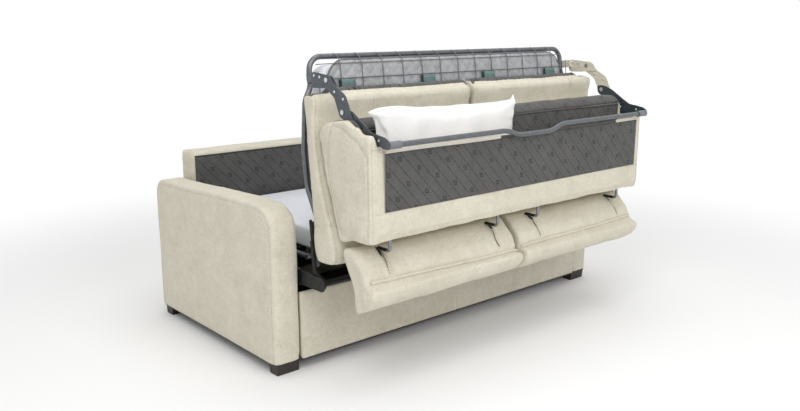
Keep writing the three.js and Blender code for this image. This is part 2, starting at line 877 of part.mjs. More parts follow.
function cornerBracketGeometry(side) {
  const base = -frameBelow - frameTubeRadius;
  const outline = bracketOutlineShares.map(([a, b]) => [
    linkPivotAlong + a * bracketWidth,
    base + b * (linkPivotAbove - base),
  ]);
  const bore = [linkPivotAlong, linkPivotAbove, linkPinRadius + boreClearance];
  const plate = plateGeometry(outline, plateCornerRadius, side, [cheekInner, cheekOuter], [bore]);
  const [from, to] = onSide(side, frameHalfWidth + frameTubeRadius / 2, cheekInner + cheekThickness / 2);
  const foot = box(
    from, to, linkPivotAlong, linkPivotAlong + bracketWidth / 2,
    -frameBelow - frameTubeRadius / 2, bracketFootTop,
  );
  return cut(join(plate, foot), bedBow(frameTubeRadius + contactGap));
}

// In shares of the way from the upper pin to the lower one, along the seat and above it
const linkOutlineShares = [
  [1.164, -0.146], [1.148, 0.195], [0.754, 0.707], [0.492, 1.293], [-0.082, 1.61], [-0.525, 1.878],
  [-0.557, 1.512], [-0.246, 1.146], [-0.148, 0.78], [0.459, 0.476], [0.787, -0.146], [0.967, -0.317],
];

function linkGeometry(side) {
  const outline = linkOutlineShares.map(([a, b]) => [
    THREE.MathUtils.lerp(backPivotAlong, linkPivotAlong, a),
    THREE.MathUtils.lerp(linkPivotAbove, backPivotAbove, b),
  ]);
  const bore = linkPinRadius + boreClearance;
  const bores = [[linkPivotAlong, linkPivotAbove, bore], [backPivotAlong, backPivotAbove, bore]];
  return plateGeometry(outline, plateCornerRadius, side, [linkInner, linkOuter], bores);
}

// A headed pin through a plate and a link
function pinGeometry(side, along, above) {
  const head = linkPinRadius * 1.6;
  const headThickness = linkPinRadius / 2;
  const inner = cheekInner - runningGap;
  const outer = linkOuter + contactGap;
  const profile = [
    [0, inner - headThickness], [head, inner - headThickness], [head, inner], [linkPinRadius, inner],
    [linkPinRadius, outer], [head, outer], [head, outer + headThickness], [0, outer + headThickness],
  ];
  const points = profile.map(([radius, height]) => new THREE.Vector2(radius, height));
  const geometry = new THREE.LatheGeometry(points, 12);
  return geometry.rotateZ((-side * Math.PI) / 2).translate(0, along, above);
}

function addLinks() {
  Object.entries(sides).forEach(([name, side]) => {
    addPart(`corner_bracket_${name}`, cornerBracketGeometry(side), 'greySteel', stack);
    addPart(`back_link_${name}`, linkGeometry(side), 'greySteel', stack);
    addPart(`link_pin_${name}`, pinGeometry(side, linkPivotAlong, linkPivotAbove), 'wire', stack);
    addPart(`back_pin_${name}`, pinGeometry(side, backPivotAlong, backPivotAbove), 'wire', stack);
  });
}

// Backrest, folded face down on the seats: its underside is on top here

const bar = stackPoint(barAlong, barAbove);
const backJoint = stackPoint(backPivotAlong, backPivotAbove);
const linkSlotFloor = backWallTop - linkSlotDepth;
const rearLiningSide = pocketHalfWidth - rearLiningInset;
const pillowEdge = pocketHalfWidth - pillowInset;

// The cushion's face lies on the seats' upper side
const seatTopShares = [
  [0.76, 0.442], [0.632, 0.472], [0.506, 0.531], [0.395, 0.65], [0.313, 0.725], [0.221, 0.873], [0.155, 0.985],
];
const cushionFootShares = [[0.13, -0.125], [0.34, 0], [0.63, 0.375], [1, 1]];
const cushionHeadShares = [
  [1, 0.268], [0.98, 0.6], [0.916, 0.876], [0.8, 1], [0.58, 0.93], [0.333, 0.793], [0.175, 0.641],
  [0.071, 0.406], [0.022, 0.157],
];

function backCushionOutline() {
  const face = seatTopShares.map(([along, above]) => stackPoint(
    along * seatLength - seatFrontOverhang,
    above * seatThickness + seatLift + softGap,
  ));
  const head = face[0];
  const foot = face.at(-1);
  return [
    ...face.map(({ y, z }) => [y, z]),
    ...cushionFootShares.map(([a, b]) => [foot.y + a * (backSplitY - foot.y), foot.z + b * backCushionRise]),
    ...cushionHeadShares.map(([a, b]) => [head.y + a * (backSplitY - head.y), head.z + b * backCushionCrown]),
  ];
}

function backCushionGeometry() {
  const cushion = paddedForm(backCushionOutline(), -backHalfWidth, backHalfWidth, backEdgeSoftness);
  return cut(cushion, linkSlot(-1), linkSlot(1));
}

function linkSlot(side) {
  const [from, to] = onSide(side, cheekInner - runningGap * 4, linkOuter + runningGap * 4);
  return box(from, to, backSplitY - cutOverrun, 0, linkSlotFloor, backJoint.z + linkSlotDepth);
}

function backBoxGeometry() {
  const front = backSplitY - contactGap;
  const soft = backEdgeSoftness;
  const outline = [
    [front, backBoxBottom + soft / 2],
    [front, backWallTop],
    [backRearY + soft, backWallTop],
    [backRearY, backWallTop - soft],
    [backRearY, backBoxBottom + soft],
    [backRearY + soft, backBoxBottom],
  ];
  const whole = alongX(roundedShape(outline, soft / 2), -backHalfWidth, backHalfWidth, { bevel: soft / 3 });
  const pocketFront = front - pocketFrontWall;
  const pocketRear = backRearY + backPanelThickness;
  const pocket = box(
    -pocketHalfWidth, pocketHalfWidth, pocketRear, pocketFront, pocketFloor, backWallTop + cutOverrun,
  );
  const panelCut = box(
    -pocketHalfWidth, pocketHalfWidth, backRearY - cutOverrun, pocketFront, backPanelTop, backWallTop + cutOverrun,
  );
  const cheekCuts = [-1, 1].map((side) => {
    const [from, to] = onSide(side, cheekInner - runningGap, pocketHalfWidth);
    return box(from, to, pocketRear, front + cutOverrun, linkSlotFloor - 3 * cutOverrun, backWallTop + cutOverrun);
  });
  const bores = rodPlaces().map((place) => {
    const bore = new THREE.CylinderGeometry(rodRadius + contactGap, rodRadius + contactGap, 2 * rodBoreDepth, 10);
    return bore.rotateX(Math.PI / 2).translate(place, rodY, backBoxBottom);
  });
  return cut(whole, pocket, panelCut, ...cheekCuts, ...bores);
}

function rodPlaces() {
  return [-rodOuterPlace, -rodInnerPlace, rodInnerPlace, rodOuterPlace];
}

// The steel cheek that joins the backrest's wall, the link and the end of the stand bar.
// Its outline is given in shares of the way from the link's pin to the bar.
const endPlateShares = [
  [-0.1, -0.2], [0.055, -0.2], [0.234, -0.032], [0.629, 0.611], [0.955, 0.726], [1.05, 0.88], [1.05, 1.15],
  [0.919, 1.158], [0.87, 1.1], [0.715, 1.095], [0.397, 1.13], [0.275, 1.05], [0.275, 0.747],
  [0.05, 0.368], [-0.092, 0.168],
];

function endPlateGeometry(side) {
  const outline = endPlateShares.map(([a, b]) => [
    backJoint.y + a * (bar.y - backJoint.y),
    backJoint.z + b * (bar.z - backJoint.z),
  ]);
  const bore = [backJoint.y, backJoint.z, linkPinRadius + boreClearance];
  return plateGeometry(outline, plateCornerRadius, side, [cheekInner, cheekOuter], [bore]);
}

function barGeometry() {
  const end = cheekInner - contactGap;
  const low = bar.z - barJogDepth;
  const corners = [
    [-end, bar.z], [-barJogHalfWidth - barJogRun, bar.z], [-barJogHalfWidth, low],
    [barJogHalfWidth, low], [barJogHalfWidth + barJogRun, bar.z], [end, bar.z],
  ].map(([x, z]) => new THREE.Vector3(x, bar.y, z));
  return tube(roundedRoute(corners, 3 * barRadius, 3), barRadius, 10);
}

function collarGeometry(side) {
  const outer = cheekInner - contactGap;
  const points = [
    [barRadius + contactGap, outer - collarLength], [collarRadius, outer - collarLength],
    [collarRadius, outer], [barRadius + contactGap, outer],
  ].map(([radius, height]) => new THREE.Vector2(radius, height));
  points.push(points[0].clone());
  const geometry = new THREE.LatheGeometry(points, 16);
  return geometry.rotateZ((-side * Math.PI) / 2).translate(0, bar.y, bar.z);
}

const pillowOutlineShares = [
  [-0.5, 0.12], [-0.46, 0.5], [-0.5, 0.86], [-0.3, 0.97], [0, 1], [0.3, 0.97], [0.5, 0.86],
  [0.46, 0.5], [0.5, 0.12], [0.3, 0.02], [0, 0], [-0.3, 0.02],
];

function pillowGeometry() {
  const height = pillowTop - pillowBottom;
  const outline = smoothOutline(pillowOutlineShares, pillowThickness, height, 22);
  const middle = (backSplitY - pocketFrontWall + backRearY + backPanelThickness) / 2;
  const placed = outline.map(([y, z]) => [y * 0.94 + middle, z + pillowBottom]);
  return paddedForm(placed, -pillowEdge, pillowWidth - pillowEdge, pillowThickness / 3);
}

function addBackrest() {
  addPart('back_cushion', backCushionGeometry(), 'fabric');
  addPart('back_box', backBoxGeometry(), 'fabric');
  const skin = backRearY - contactGap;
  addPart(
    'rear_lining',
    box(-rearLiningSide, rearLiningSide, skin - liningThickness, skin, rearLiningBottom, rearLiningTop),
    'lining',
  );
  addPart('stand_bar', barGeometry(), 'tube');
  addPart('pillow', pillowGeometry(), 'pillow');
  Object.entries(sides).forEach(([name, side]) => {
    addPart(`end_plate_${name}`, endPlateGeometry(side), 'greySteel');
    addPart(`bar_collar_${name}`, collarGeometry(side), 'plastic');
  });
}

// Headrests, hanging on bent rods

const headrestOutlineShares = [
  [0.732, 1], [0.667, 0.98], [0.515, 0.867], [0.333, 0.714], [0.197, 0.522], [0.152, 0.475],
  [0.051, 0.451], [0, 0.384], [0.015, 0.278], [0.106, 0.176], [0.237, 0.102], [0.414, 0.024], [0.525, 0],
  [0.596, 0.043], [0.636, 0.173], [0.657, 0.322], [0.753, 0.475], [0.854, 0.604], [0.939, 0.749],
  [1, 0.898], [0.975, 0.969], [0.874, 1],
];

function headrestGeometry(side) {
  const [from, to] = onSide(side, headrestInner, backHalfWidth);
  const outline = headrestOutlineShares.map(([a, b]) => [
    headrestRear + a * headrestDepth,
    headrestBottom + b * headrestHeight,
  ]);
  const form = paddedForm(outline, from, to, headrestEdgeRadius);
  const places = rodPlaces().filter((place) => place * side > 0);
  const darts = places.map((place) => {
    const shape = new THREE.Shape();
    shape.moveTo(hingeY + dartHalfWidth, hingeZ);
    shape.lineTo(hingeY, hingeZ + dartHalfWidth);
    shape.lineTo(hingeY - dartReach, hingeZ + dartHalfWidth);
    shape.lineTo(hingeY - dartReach * 0.76, hingeZ - dartReach * 0.66);
    shape.lineTo(hingeY, hingeZ - dartHalfWidth);
    shape.closePath();
    return alongX(shape, place - dartHalfWidth, place + dartHalfWidth);
  });
  return cut(form, ...darts);
}

function rodGeometry(place) {
  const corners = [
    new THREE.Vector3(place, rodY, rodTopZ),
    new THREE.Vector3(place, rodY, hingeZ),
    new THREE.Vector3(place, hingeY + dartHalfWidth - rodRadius, hingeZ),
  ];
  return tube(roundedRoute(corners, rodBendRadius, 4), rodRadius, 10);
}

function addHeadrests() {
  const names = ['left_outer', 'left_inner', 'right_inner', 'right_outer'];
  rodPlaces().forEach((place, index) => {
    addPart(`headrest_rod_${names[index]}`, rodGeometry(place), 'chrome');
  });
  Object.entries(sides).forEach(([name, side]) => {
    addPart(`headrest_${name}`, headrestGeometry(side), 'fabric');
  });
}

// Head section inside the base, and the bend of the mattress in front of it

const openLevel = pivot.z + pivotAbove;

function addHeadSection() {
  const height = openLevel + meshBelow;
  const lugs = [-1, 1].map((side) => {
    const [from, to] = onSide(side, frameHalfWidth, channelOuter - channelBackThickness - contactGap);
    return box(
      from, to, lugPlace - lugWidth / 2, lugPlace + lugWidth / 2,
      height - lugThickness / 2, height + lugThickness / 2,
    );
  });
  addPart('head_frame', headFrameGeometry(height, lugs), 'tube');
  addPart('head_mesh', netGeometry(headFrameFront, headFrameRear, height, headMeshScale, 0), 'wire');
  const low = openLevel - mattressTop;
  addPart(
    'head_mattress',
    alongZ(
      bedOutline(mattressHalf, headMattressFront, headMattressRear, headCornerRadius),
      low,
      low + mattressThickness,
      { bevel: mattressEdgeRadius },
    ),
    'mattress',
  );
}

const bendShares = [[0, 0], [0.42, 0], [0.78, 0.09], [0.966, 0.34], [0.983, 0.76], [0.93, 1.1]];

function mattressBendGeometry() {
  const low = openLevel - mattressTop + softGap;
  const rear = headMattressFront - contactGap;
  const top = stackPoint(bedMattressNear, mattressTop - mattressThickness);
  const outline = [
    ...bendShares.map(([a, b]) => [rear - a * bendDepth, low + b * mattressThickness]),
    [top.y - softGap, top.z - softGap],
    [rear, low + mattressThickness - 2 * softGap],
  ];
  return alongX(roundedShape(outline, 12), -mattressHalf, mattressHalf, { bevel: 6 });
}

addBase();
addMechanism();
addBed();
addSeats();
addLinks();
addBackrest();
addHeadrests();
addHeadSection();
addPart('mattress_bend', mattressBendGeometry(), 'mattress');

export default sofa;
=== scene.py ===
import math
from functools import partial

import bmesh
import bpy
import numpy as np
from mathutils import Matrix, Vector
from mathutils.bvhtree import BVHTree


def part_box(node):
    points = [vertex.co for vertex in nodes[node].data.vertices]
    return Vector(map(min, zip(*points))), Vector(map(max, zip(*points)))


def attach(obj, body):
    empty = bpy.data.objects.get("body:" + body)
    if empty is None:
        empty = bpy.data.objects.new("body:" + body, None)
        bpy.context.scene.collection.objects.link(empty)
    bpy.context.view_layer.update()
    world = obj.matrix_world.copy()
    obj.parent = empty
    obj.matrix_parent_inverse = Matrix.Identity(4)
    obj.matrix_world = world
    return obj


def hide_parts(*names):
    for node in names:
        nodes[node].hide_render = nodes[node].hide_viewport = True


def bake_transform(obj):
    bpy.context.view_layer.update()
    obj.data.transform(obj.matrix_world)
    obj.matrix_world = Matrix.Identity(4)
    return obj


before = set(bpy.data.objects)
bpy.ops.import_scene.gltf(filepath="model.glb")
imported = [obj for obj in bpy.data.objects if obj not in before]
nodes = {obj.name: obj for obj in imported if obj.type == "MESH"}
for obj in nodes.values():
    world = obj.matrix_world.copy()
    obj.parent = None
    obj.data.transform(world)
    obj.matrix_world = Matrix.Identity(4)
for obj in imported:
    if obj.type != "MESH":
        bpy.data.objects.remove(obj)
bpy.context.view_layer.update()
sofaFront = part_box("arm_left")[0][1]  # the arms' front face
print("frame loaded,", len(nodes), "nodes")

# the view of the photograph
camera = {
    "place": (-2.5728, -2.8210, 1.3623), "look": (0.64147, 0.73481, -0.22036), "lens": 36.524, "sensor": 36.0,
    "reach": 60.0,
}


def standObject(name, data):
    thing = bpy.data.objects.new(name, data)
    bpy.context.scene.collection.objects.link(thing)
    return thing


cameraData = bpy.data.cameras.new("viewCamera")
cameraData.lens = camera["lens"]
cameraData.sensor_width = camera["sensor"]
cameraData.clip_end = camera["reach"]
cameraObject = standObject("viewCamera", cameraData)
cameraObject.location = camera["place"]
cameraObject.rotation_euler = Vector(camera["look"]).to_track_quat("-Z", "Y").to_euler()
bpy.context.scene.camera = cameraObject

# where the seat and bed stand half open, and half widths that several pieces share
stack = {"front": -0.074, "level": 0.450, "angle": math.radians(83.2)}
width = {"seat": 0.858, "back": 0.845, "pocket": 0.790, "frame": 0.765, "wide": 0.822, "net": 0.7537, "lining": 0.772}
sides = (("left", -1), ("right", 1))
fills = {"base": 0.9, "cushion": 0.85, "firm": 0.8, "quilt": 0.7, "pillow": 0.6}
tiny, nearHalf, diagonal = 1e-9, 0.49, 0.7071


def stackPoint(x, along, above):
    cosine, sine = math.cos(stack["angle"]), math.sin(stack["angle"])
    y = stack["front"] + along * cosine - above * sine + sofaFront
    z = stack["level"] + along * sine + above * cosine
    return (x, y, z)


alongStack = Vector(stackPoint(0, 1, 0)) - Vector(stackPoint(0, 0, 0))
aboveStack = Vector(stackPoint(0, 0, 1)) - Vector(stackPoint(0, 0, 0))


# shader helpers

arithmetic = ("ADD", "SUBTRACT", "MULTIPLY")


# gives a node its inputs, which are values, sockets or nodes that stand for their first output
def fillInputs(tree, node, inputs):
    for key, value in inputs.items():
        if isinstance(value, bpy.types.Node):
            value = value.outputs[0]
        if isinstance(value, bpy.types.NodeSocket):
            tree.links.new(value, node.inputs[key])
        else:
            node.inputs[key].default_value = value


def addNode(tree, kind, inputs=None, **settings):
    node = tree.nodes.new(kind)
    for key, value in settings.items():
        setattr(node, key, value)
    fillInputs(tree, node, inputs or {})
    return node


def calc(tree, operation, *values):
    return addNode(tree, "ShaderNodeMath", dict(enumerate(values)), operation=operation).outputs[0]


def noise(tree, vector, **inputs):
    return addNode(tree, "ShaderNodeTexNoise", {"Vector": vector, **inputs}).outputs[0]


def mixColour(tree, factor, first, second):
    return addNode(tree, "ShaderNodeMix", {0: factor, 6: first, 7: second}, data_type="RGBA").outputs[2]


# sockets are told by their kind's name or by a default value
def newTree(kind, name, inputs, outputs):
    tree = bpy.data.node_groups.new(name, kind)
    for way, sockets in (("INPUT", inputs), ("OUTPUT", outputs)):
        for label, value in sockets.items():
            shape = value if isinstance(value, str) else type(value).__name__.capitalize()
            socket = tree.interface.new_socket(label, in_out=way, socket_type="NodeSocket" + shape)
            if shape != value:
                socket.default_value = value
    return tree, tree.nodes.new("NodeGroupInput").outputs, tree.nodes.new("NodeGroupOutput").inputs


newGroup = partial(newTree, "ShaderNodeTree")


def linear(red, green, blue):
    shares = [value / 255 for value in (red, green, blue)]
    return (*[s / 12.92 if s <= 0.04045 else ((s + 0.055) / 1.055) ** 2.4 for s in shares], 1)


# pile of the cloth: fine yarn, brushed patches and soft smudges
def buildPile():
    group, given, result = newGroup(
        "clothPile", {"Vector": "Vector", "Yarn": 420.0, "Patch": 9.0, "Smudge": 0.5},
        {"Shade": "Float", "Height": "Float"})
    add, take, times = (partial(calc, group, name) for name in arithmetic)
    place = given["Vector"]
    yarn = noise(group, place, Scale=given["Yarn"], Detail=3.0)
    slub = noise(group, place, Scale=150.0, Detail=4.0, Roughness=0.65)
    crush = noise(group, place, Scale=42.0, Detail=3.0, Roughness=0.6, Distortion=1.2)
    patch = noise(group, place, Scale=given["Patch"], Detail=3.0, Distortion=0.8)
    turned = {"Vector": place, "Rotation": (0.6, 0.3, 0.5), "Scale": (1.0, 0.45, 2.2)}
    stretched = addNode(group, "ShaderNodeMapping", turned).outputs[0]
    brush = noise(group, stretched, Scale=13.0, Detail=5.0, Roughness=0.6, Distortion=0.5)
    edges = {"Value": brush, "From Min": 0.56, "From Max": 0.74}
    smudge = addNode(group, "ShaderNodeMapRange", edges, interpolation_type="SMOOTHSTEP").outputs[0]
    amounts = ((yarn, 0.42), (slub, 0.75), (patch, 0.55), (crush, 0.55))
    fine, rough, broad, middle = [times(take(part, 0.5), amount) for part, amount in amounts]
    shade = add(add(fine, rough), add(add(broad, middle), 0.5))
    group.links.new(take(shade, times(smudge, given["Smudge"])), result["Shade"])
    group.links.new(add(times(yarn, 0.6), add(slub, crush)), result["Height"])
    return group


# the dark lining's print: broken slanting lines with a small lozenge between them
def buildPrint():
    group, given, result = newGroup(
        "liningPrint", {"Vector": "Vector", "Lane": 0.037, "Repeat": 0.188, "Line": 0.0026, "Mark": 0.0105},
        {"Mask": "Float"})
    add, take, times = (partial(calc, group, name) for name in arithmetic)
    size, under, over = (partial(calc, group, name) for name in ("ABSOLUTE", "LESS_THAN", "GREATER_THAN"))
    share, part = (partial(calc, group, name) for name in ("DIVIDE", "FRACT"))
    x, y = addNode(group, "ShaderNodeSeparateXYZ", {0: given["Vector"]}).outputs[:2]
    across, along = times(add(x, y), diagonal), times(take(x, y), diagonal)
    lane = share(across, given["Lane"])
    laneIndex = calc(group, "FLOOR", lane)
    sideways = times(take(take(lane, laneIndex), 0.5), given["Lane"])
    toLine = take(times(given["Lane"], 0.5), size(sideways))
    dashes = part(add(share(along, 0.061), times(laneIndex, 0.37)))
    line = times(under(toLine, times(given["Line"], 0.5)), under(dashes, 0.82))
    turn = times(calc(group, "MODULO", size(laneIndex), 2.0), 0.5)
    lengthways = times(take(part(add(share(along, given["Repeat"]), turn)), 0.5), given["Repeat"])
    lozenge = share(add(size(sideways), times(size(lengthways), 0.75)), given["Mark"])
    ring = times(under(lozenge, 1.0), over(lozenge, 0.62))
    mark = calc(group, "MAXIMUM", ring, under(lozenge, 0.24))
    group.links.new(calc(group, "MAXIMUM", line, mark), result["Mask"])
    return group


# worn and lightly marked metal
def buildWear():
    group, given, result = newGroup(
        "metalWear", {"Vector": "Vector", "Grain": 60.0, "Scratch": 0.3},
        {"Shade": "Float", "Rough": "Float", "Height": "Float"})
    add, take, times = (partial(calc, group, name) for name in arithmetic)
    cloud = noise(group, given["Vector"], Scale=given["Grain"], Detail=4.0)
    turned = {"Vector": given["Vector"], "Rotation": (0.2, 0.5, 0.9), "Scale": (1.0, 9.0, 3.0)}
    scratch = noise(group, addNode(group, "ShaderNodeMapping", turned).outputs[0], Scale=75.0, Detail=2.0)
    lines = addNode(group, "ShaderNodeMapRange", {"Value": scratch, "From Min": 0.62, "From Max": 0.7}).outputs[0]
    marked = times(lines, given["Scratch"])
    group.links.new(add(cloud, marked), result["Shade"])
    group.links.new(add(times(cloud, 0.5), marked), result["Rough"])
    group.links.new(take(cloud, marked), result["Height"])
    return group


clothPile = buildPile()
liningPrint = buildPrint()
metalWear = buildWear()


def startMaterial(name, roughness, metallic=0.0, sheen=0.0):
    material = bpy.data.materials.new(name)
    material.use_nodes = True
    tree = material.node_tree
    shader = tree.nodes["Principled BSDF"]
    fillInputs(tree, shader, {
        "Roughness": roughness, "Metallic": metallic, "Sheen Weight": sheen, "Sheen Roughness": 0.45,
    })
    return material, tree, shader, tree.nodes.new("ShaderNodeTexCoord").outputs


def useGroup(tree, group, **inputs):
    node = tree.nodes.new("ShaderNodeGroup")
    node.node_tree = group
    fillInputs(tree, node, inputs)
    return node.outputs


def shadeOf(tree, value, look):
    share = addNode(tree, "ShaderNodeClamp", {0: value}).outputs[0]
    return mixColour(tree, share, look["dark"], look["light"])


def addBump(tree, shader, height, strength, distance):
    bump = addNode(tree, "ShaderNodeBump", {"Height": height, "Strength": strength, "Distance": distance})
    tree.links.new(bump.outputs[0], shader.inputs["Normal"])


# folds across the cloth where a piece's "pucker" values are high
def addPuckers(tree, place, height, amount):
    puckers = addNode(tree, "ShaderNodeAttribute", None, attribute_name="pucker").outputs["Fac"]
    spot = addNode(tree, "ShaderNodeMapping", {"Vector": place["Object"], "Rotation": (-stack["angle"], 0.0, 0.0)})
    waves = {"Vector": spot, "Scale": 24.0, "Distortion": 1.6, "Detail": 2.0}
    fold = addNode(tree, "ShaderNodeTexWave", waves, bands_direction="Y").outputs["Fac"]
    return calc(tree, "ADD", height, calc(tree, "MULTIPLY", calc(tree, "MULTIPLY", fold, puckers), amount))


# any woven or brushed cloth; tones run from the shaded to the light yarn
def clothMaterial(name, look):
    material, tree, shader, place = startMaterial(name, look["roughness"], 0.0, look["sheen"])
    shader.inputs["Sheen Tint"].default_value = look["light"]
    pile = useGroup(
        tree, clothPile, Vector=place["Object"], Yarn=look["yarn"], Patch=look["patch"], Smudge=look["smudge"])
    tree.links.new(shadeOf(tree, pile["Shade"], look), shader.inputs["Base Color"])
    height = pile["Height"]
    if name in puckered:
        height = addPuckers(tree, place, height, puckered[name])
    addBump(tree, shader, height, look["bump"], look["depth"])
    return material


def liningMaterial(name, look):
    material, tree, shader, place = startMaterial(name, look["roughness"], 0.0, 0.15)
    pile = useGroup(tree, clothPile, Vector=place["Object"], Yarn=520.0, Patch=7.0, Smudge=0.1)
    mask = useGroup(tree, liningPrint, Vector=place["UV"])["Mask"]
    ground = shadeOf(tree, pile["Shade"], look)
    tree.links.new(mixColour(tree, mask, ground, look["ink"]), shader.inputs["Base Color"])
    height = calc(tree, "SUBTRACT", pile["Height"], calc(tree, "MULTIPLY", mask, 0.6))
    addBump(tree, shader, height, 0.35, 0.0008)
    return material


def metalMaterial(name, look):
    rough = look["roughness"]
    material, tree, shader, place = startMaterial(name, rough, look["metallic"])
    wear = useGroup(tree, metalWear, Vector=place["Object"], Grain=look["grain"], Scratch=look["scratch"])
    tree.links.new(shadeOf(tree, wear["Shade"], look), shader.inputs["Base Color"])
    ends = {"Value": wear["Rough"], "To Min": rough * 0.8, "To Max": rough * 1.35}
    tree.links.new(addNode(tree, "ShaderNodeMapRange", ends).outputs[0], shader.inputs["Roughness"])
    addBump(tree, shader, wear["Height"], 0.12, 0.0006)
    return material


puckered = {"creamChenille": 0.8}
clothColumns = ("roughness", "sheen", "yarn", "patch", "smudge", "bump", "depth")
cloths = {
    "cream": ("creamChenille", (186, 179, 158), (230, 225, 211), 0.92, 0.2, 430.0, 8.0, 0.2, 0.5, 0.0014),
    "mattress": ("mattressCover", (205, 207, 214), (238, 239, 244), 0.85, 0.1, 600.0, 5.0, 0.1, 0.25, 0.0008),
    "pillow": ("pillowCover", (222, 221, 218), (238, 237, 234), 0.9, 0.05, 700.0, 6.0, 0.05, 0.2, 0.0007),
    "quilt": ("silverQuilt", (112, 114, 116), (196, 198, 200), 0.3, 0.1, 500.0, 9.0, 0.15, 0.2, 0.0008),
    "binding": ("padBinding", (84, 86, 88), (128, 130, 132), 0.7, 0.1, 600.0, 9.0, 0.1, 0.3, 0.0008),
    "belt": ("elasticWeb", (74, 98, 98), (118, 142, 140), 0.8, 0.1, 700.0, 20.0, 0.1, 0.5, 0.001),
    "beltEnd": ("beltEndCloth", (20, 22, 24), (48, 50, 52), 0.85, 0.05, 700.0, 20.0, 0.1, 0.5, 0.001),
    # real stitching thread, darkened below the cream cloth as painted shade of the seam grooves
    "threadAndGrooveShade": ("seamThread", (118, 111, 90), (156, 148, 128), 0.9, 0.05, 900.0, 30.0, 0.1, 0.3, 0.0005),
    "hem": ("paleHem", (196, 190, 176), (226, 221, 210), 0.9, 0.1, 700.0, 12.0, 0.1, 0.3, 0.0008),
    "crease": ("creaseShade", (84, 78, 58), (118, 110, 88), 0.95, 0.0, 900.0, 20.0, 0.1, 0.2, 0.0004),
    # near-black: real piping on the back lining's edge, and painted shade in the headrests' slits
    "darkEdgeAndSlitShade": ("darkPiping", (34, 34, 34), (60, 60, 60), 0.85, 0.05, 900.0, 20.0, 0.1, 0.3, 0.0006),
    "liningEdge": ("liningHem", (60, 60, 59), (94, 93, 90), 0.88, 0.1, 800.0, 14.0, 0.1, 0.3, 0.0006),
}
metalColumns = ("roughness", "metallic", "grain", "scratch")
metals = {
    "wood": ("darkWood", (28, 22, 20), (56, 44, 40), 0.5, 0.0, 30.0, 0.2),
    "blackSteel": ("blackSteel", (8, 10, 12), (30, 34, 38), 0.36, 0.3, 40.0, 0.35),
    "greySteel": ("greySteel", (64, 68, 73), (100, 105, 111), 0.42, 0.55, 45.0, 0.3),
    "blueSteel": ("blueGreySteel", (50, 58, 64), (82, 92, 99), 0.4, 0.45, 45.0, 0.3),
    "creamPaint": ("creamPaint", (196, 189, 170), (226, 220, 204), 0.5, 0.0, 60.0, 0.1),
    "tube": ("tubeSteel", (82, 85, 88), (120, 123, 126), 0.32, 0.6, 50.0, 0.25),
    "wire": ("wireSteel", (88, 91, 94), (128, 131, 134), 0.35, 0.7, 80.0, 0.2),
    "rod": ("polishedRod", (96, 99, 104), (168, 171, 176), 0.2, 1.0, 80.0, 0.15),
    "rivet": ("rivetMetal", (170, 174, 178), (226, 229, 232), 0.25, 0.9, 90.0, 0.2),
    "plastic": ("greyPlastic", (94, 98, 103), (124, 128, 133), 0.5, 0.0, 60.0, 0.15),
}
finishes = {"lining": liningMaterial("liningCloth", {
    "dark": linear(62, 62, 61), "light": linear(100, 99, 97), "ink": linear(30, 30, 30), "roughness": 0.9,
})}
for rows, columns, make in ((cloths, clothColumns, clothMaterial), (metals, metalColumns, metalMaterial)):
    for finish, (name, dark, light, *amounts) in rows.items():
        look = {"dark": linear(*dark), "light": linear(*light), **dict(zip(columns, amounts))}
        finishes[finish] = make(name, look)
print("materials made,", len(finishes))


# mesh helpers

def newPiece(name, points, faces, material):
    mesh = bpy.data.meshes.new(name)
    mesh.from_pydata([tuple(float(c) for c in p) for p in points], [], [tuple(int(i) for i in f) for f in faces])
    mesh.update()
    mesh.materials.append(material)
    mesh.polygons.foreach_set("use_smooth", np.full(len(mesh.polygons), True))
    return standObject(name, mesh)


# one piece from a bmesh, which is used up
def meshPiece(name, skin, material):
    mesh = bpy.data.meshes.new(name)
    skin.to_mesh(mesh)
    skin.free()
    mesh.materials.clear()
    mesh.materials.append(material)
    return standObject(name, mesh)


def bake(piece):
    view = bpy.context.evaluated_depsgraph_get()
    mesh = bpy.data.meshes.new_from_object(piece.evaluated_get(view))
    piece.modifiers.clear()
    old = piece.data
    piece.data = mesh
    mesh.name = piece.name
    bpy.data.meshes.remove(old)
    return piece


def vectorsOf(kind, mesh):
    values = np.empty(len(mesh.vertices) * 3)
    mesh.vertices.foreach_get(kind, values)
    return values.reshape(-1, 3)


def placesOf(piece):
    return vectorsOf("co", piece.data)


def normalsOf(piece):
    return vectorsOf("normal", piece.data)


def setPlaces(piece, places):
    piece.data.vertices.foreach_set("co", np.asarray(places).ravel())
    piece.data.update()


def raiseSkin(piece, lift):
    setPlaces(piece, placesOf(piece) + normalsOf(piece) * lift[:, None])


# the pattern's own coordinates on each corner, which the lining's print reads
def layPattern(piece, pattern):
    layer = piece.data.uv_layers.new(name="cloth")
    corner = np.empty(len(piece.data.loops), dtype=np.int64)
    piece.data.loops.foreach_get("vertex_index", corner)
    layer.data.foreach_set("uv", pattern[corner].ravel())


rippleLook = {"waves": 9, "sizes": (0.7, 1.6), "turn": 6.28}


# soft random waves of about the given height and length
def ripple(places, height, length, seed, side=0):
    chance = np.random.default_rng(seed + side)
    total = np.zeros(len(places))
    for _ in range(rippleLook["waves"]):
        direction = chance.normal(size=3)
        direction /= np.linalg.norm(direction)
        size = length * chance.uniform(*rippleLook["sizes"])
        total += np.sin(places @ direction * 2 * math.pi / size + chance.uniform(0, rippleLook["turn"]))
    return height * (total / math.sqrt(rippleLook["waves"]))


def smoothStep(values, low, high):
    share = np.clip((values - low) / (high - low), 0, 1)
    return share * share * (3 - 2 * share)


relaxSteps = (0.55, -0.57)


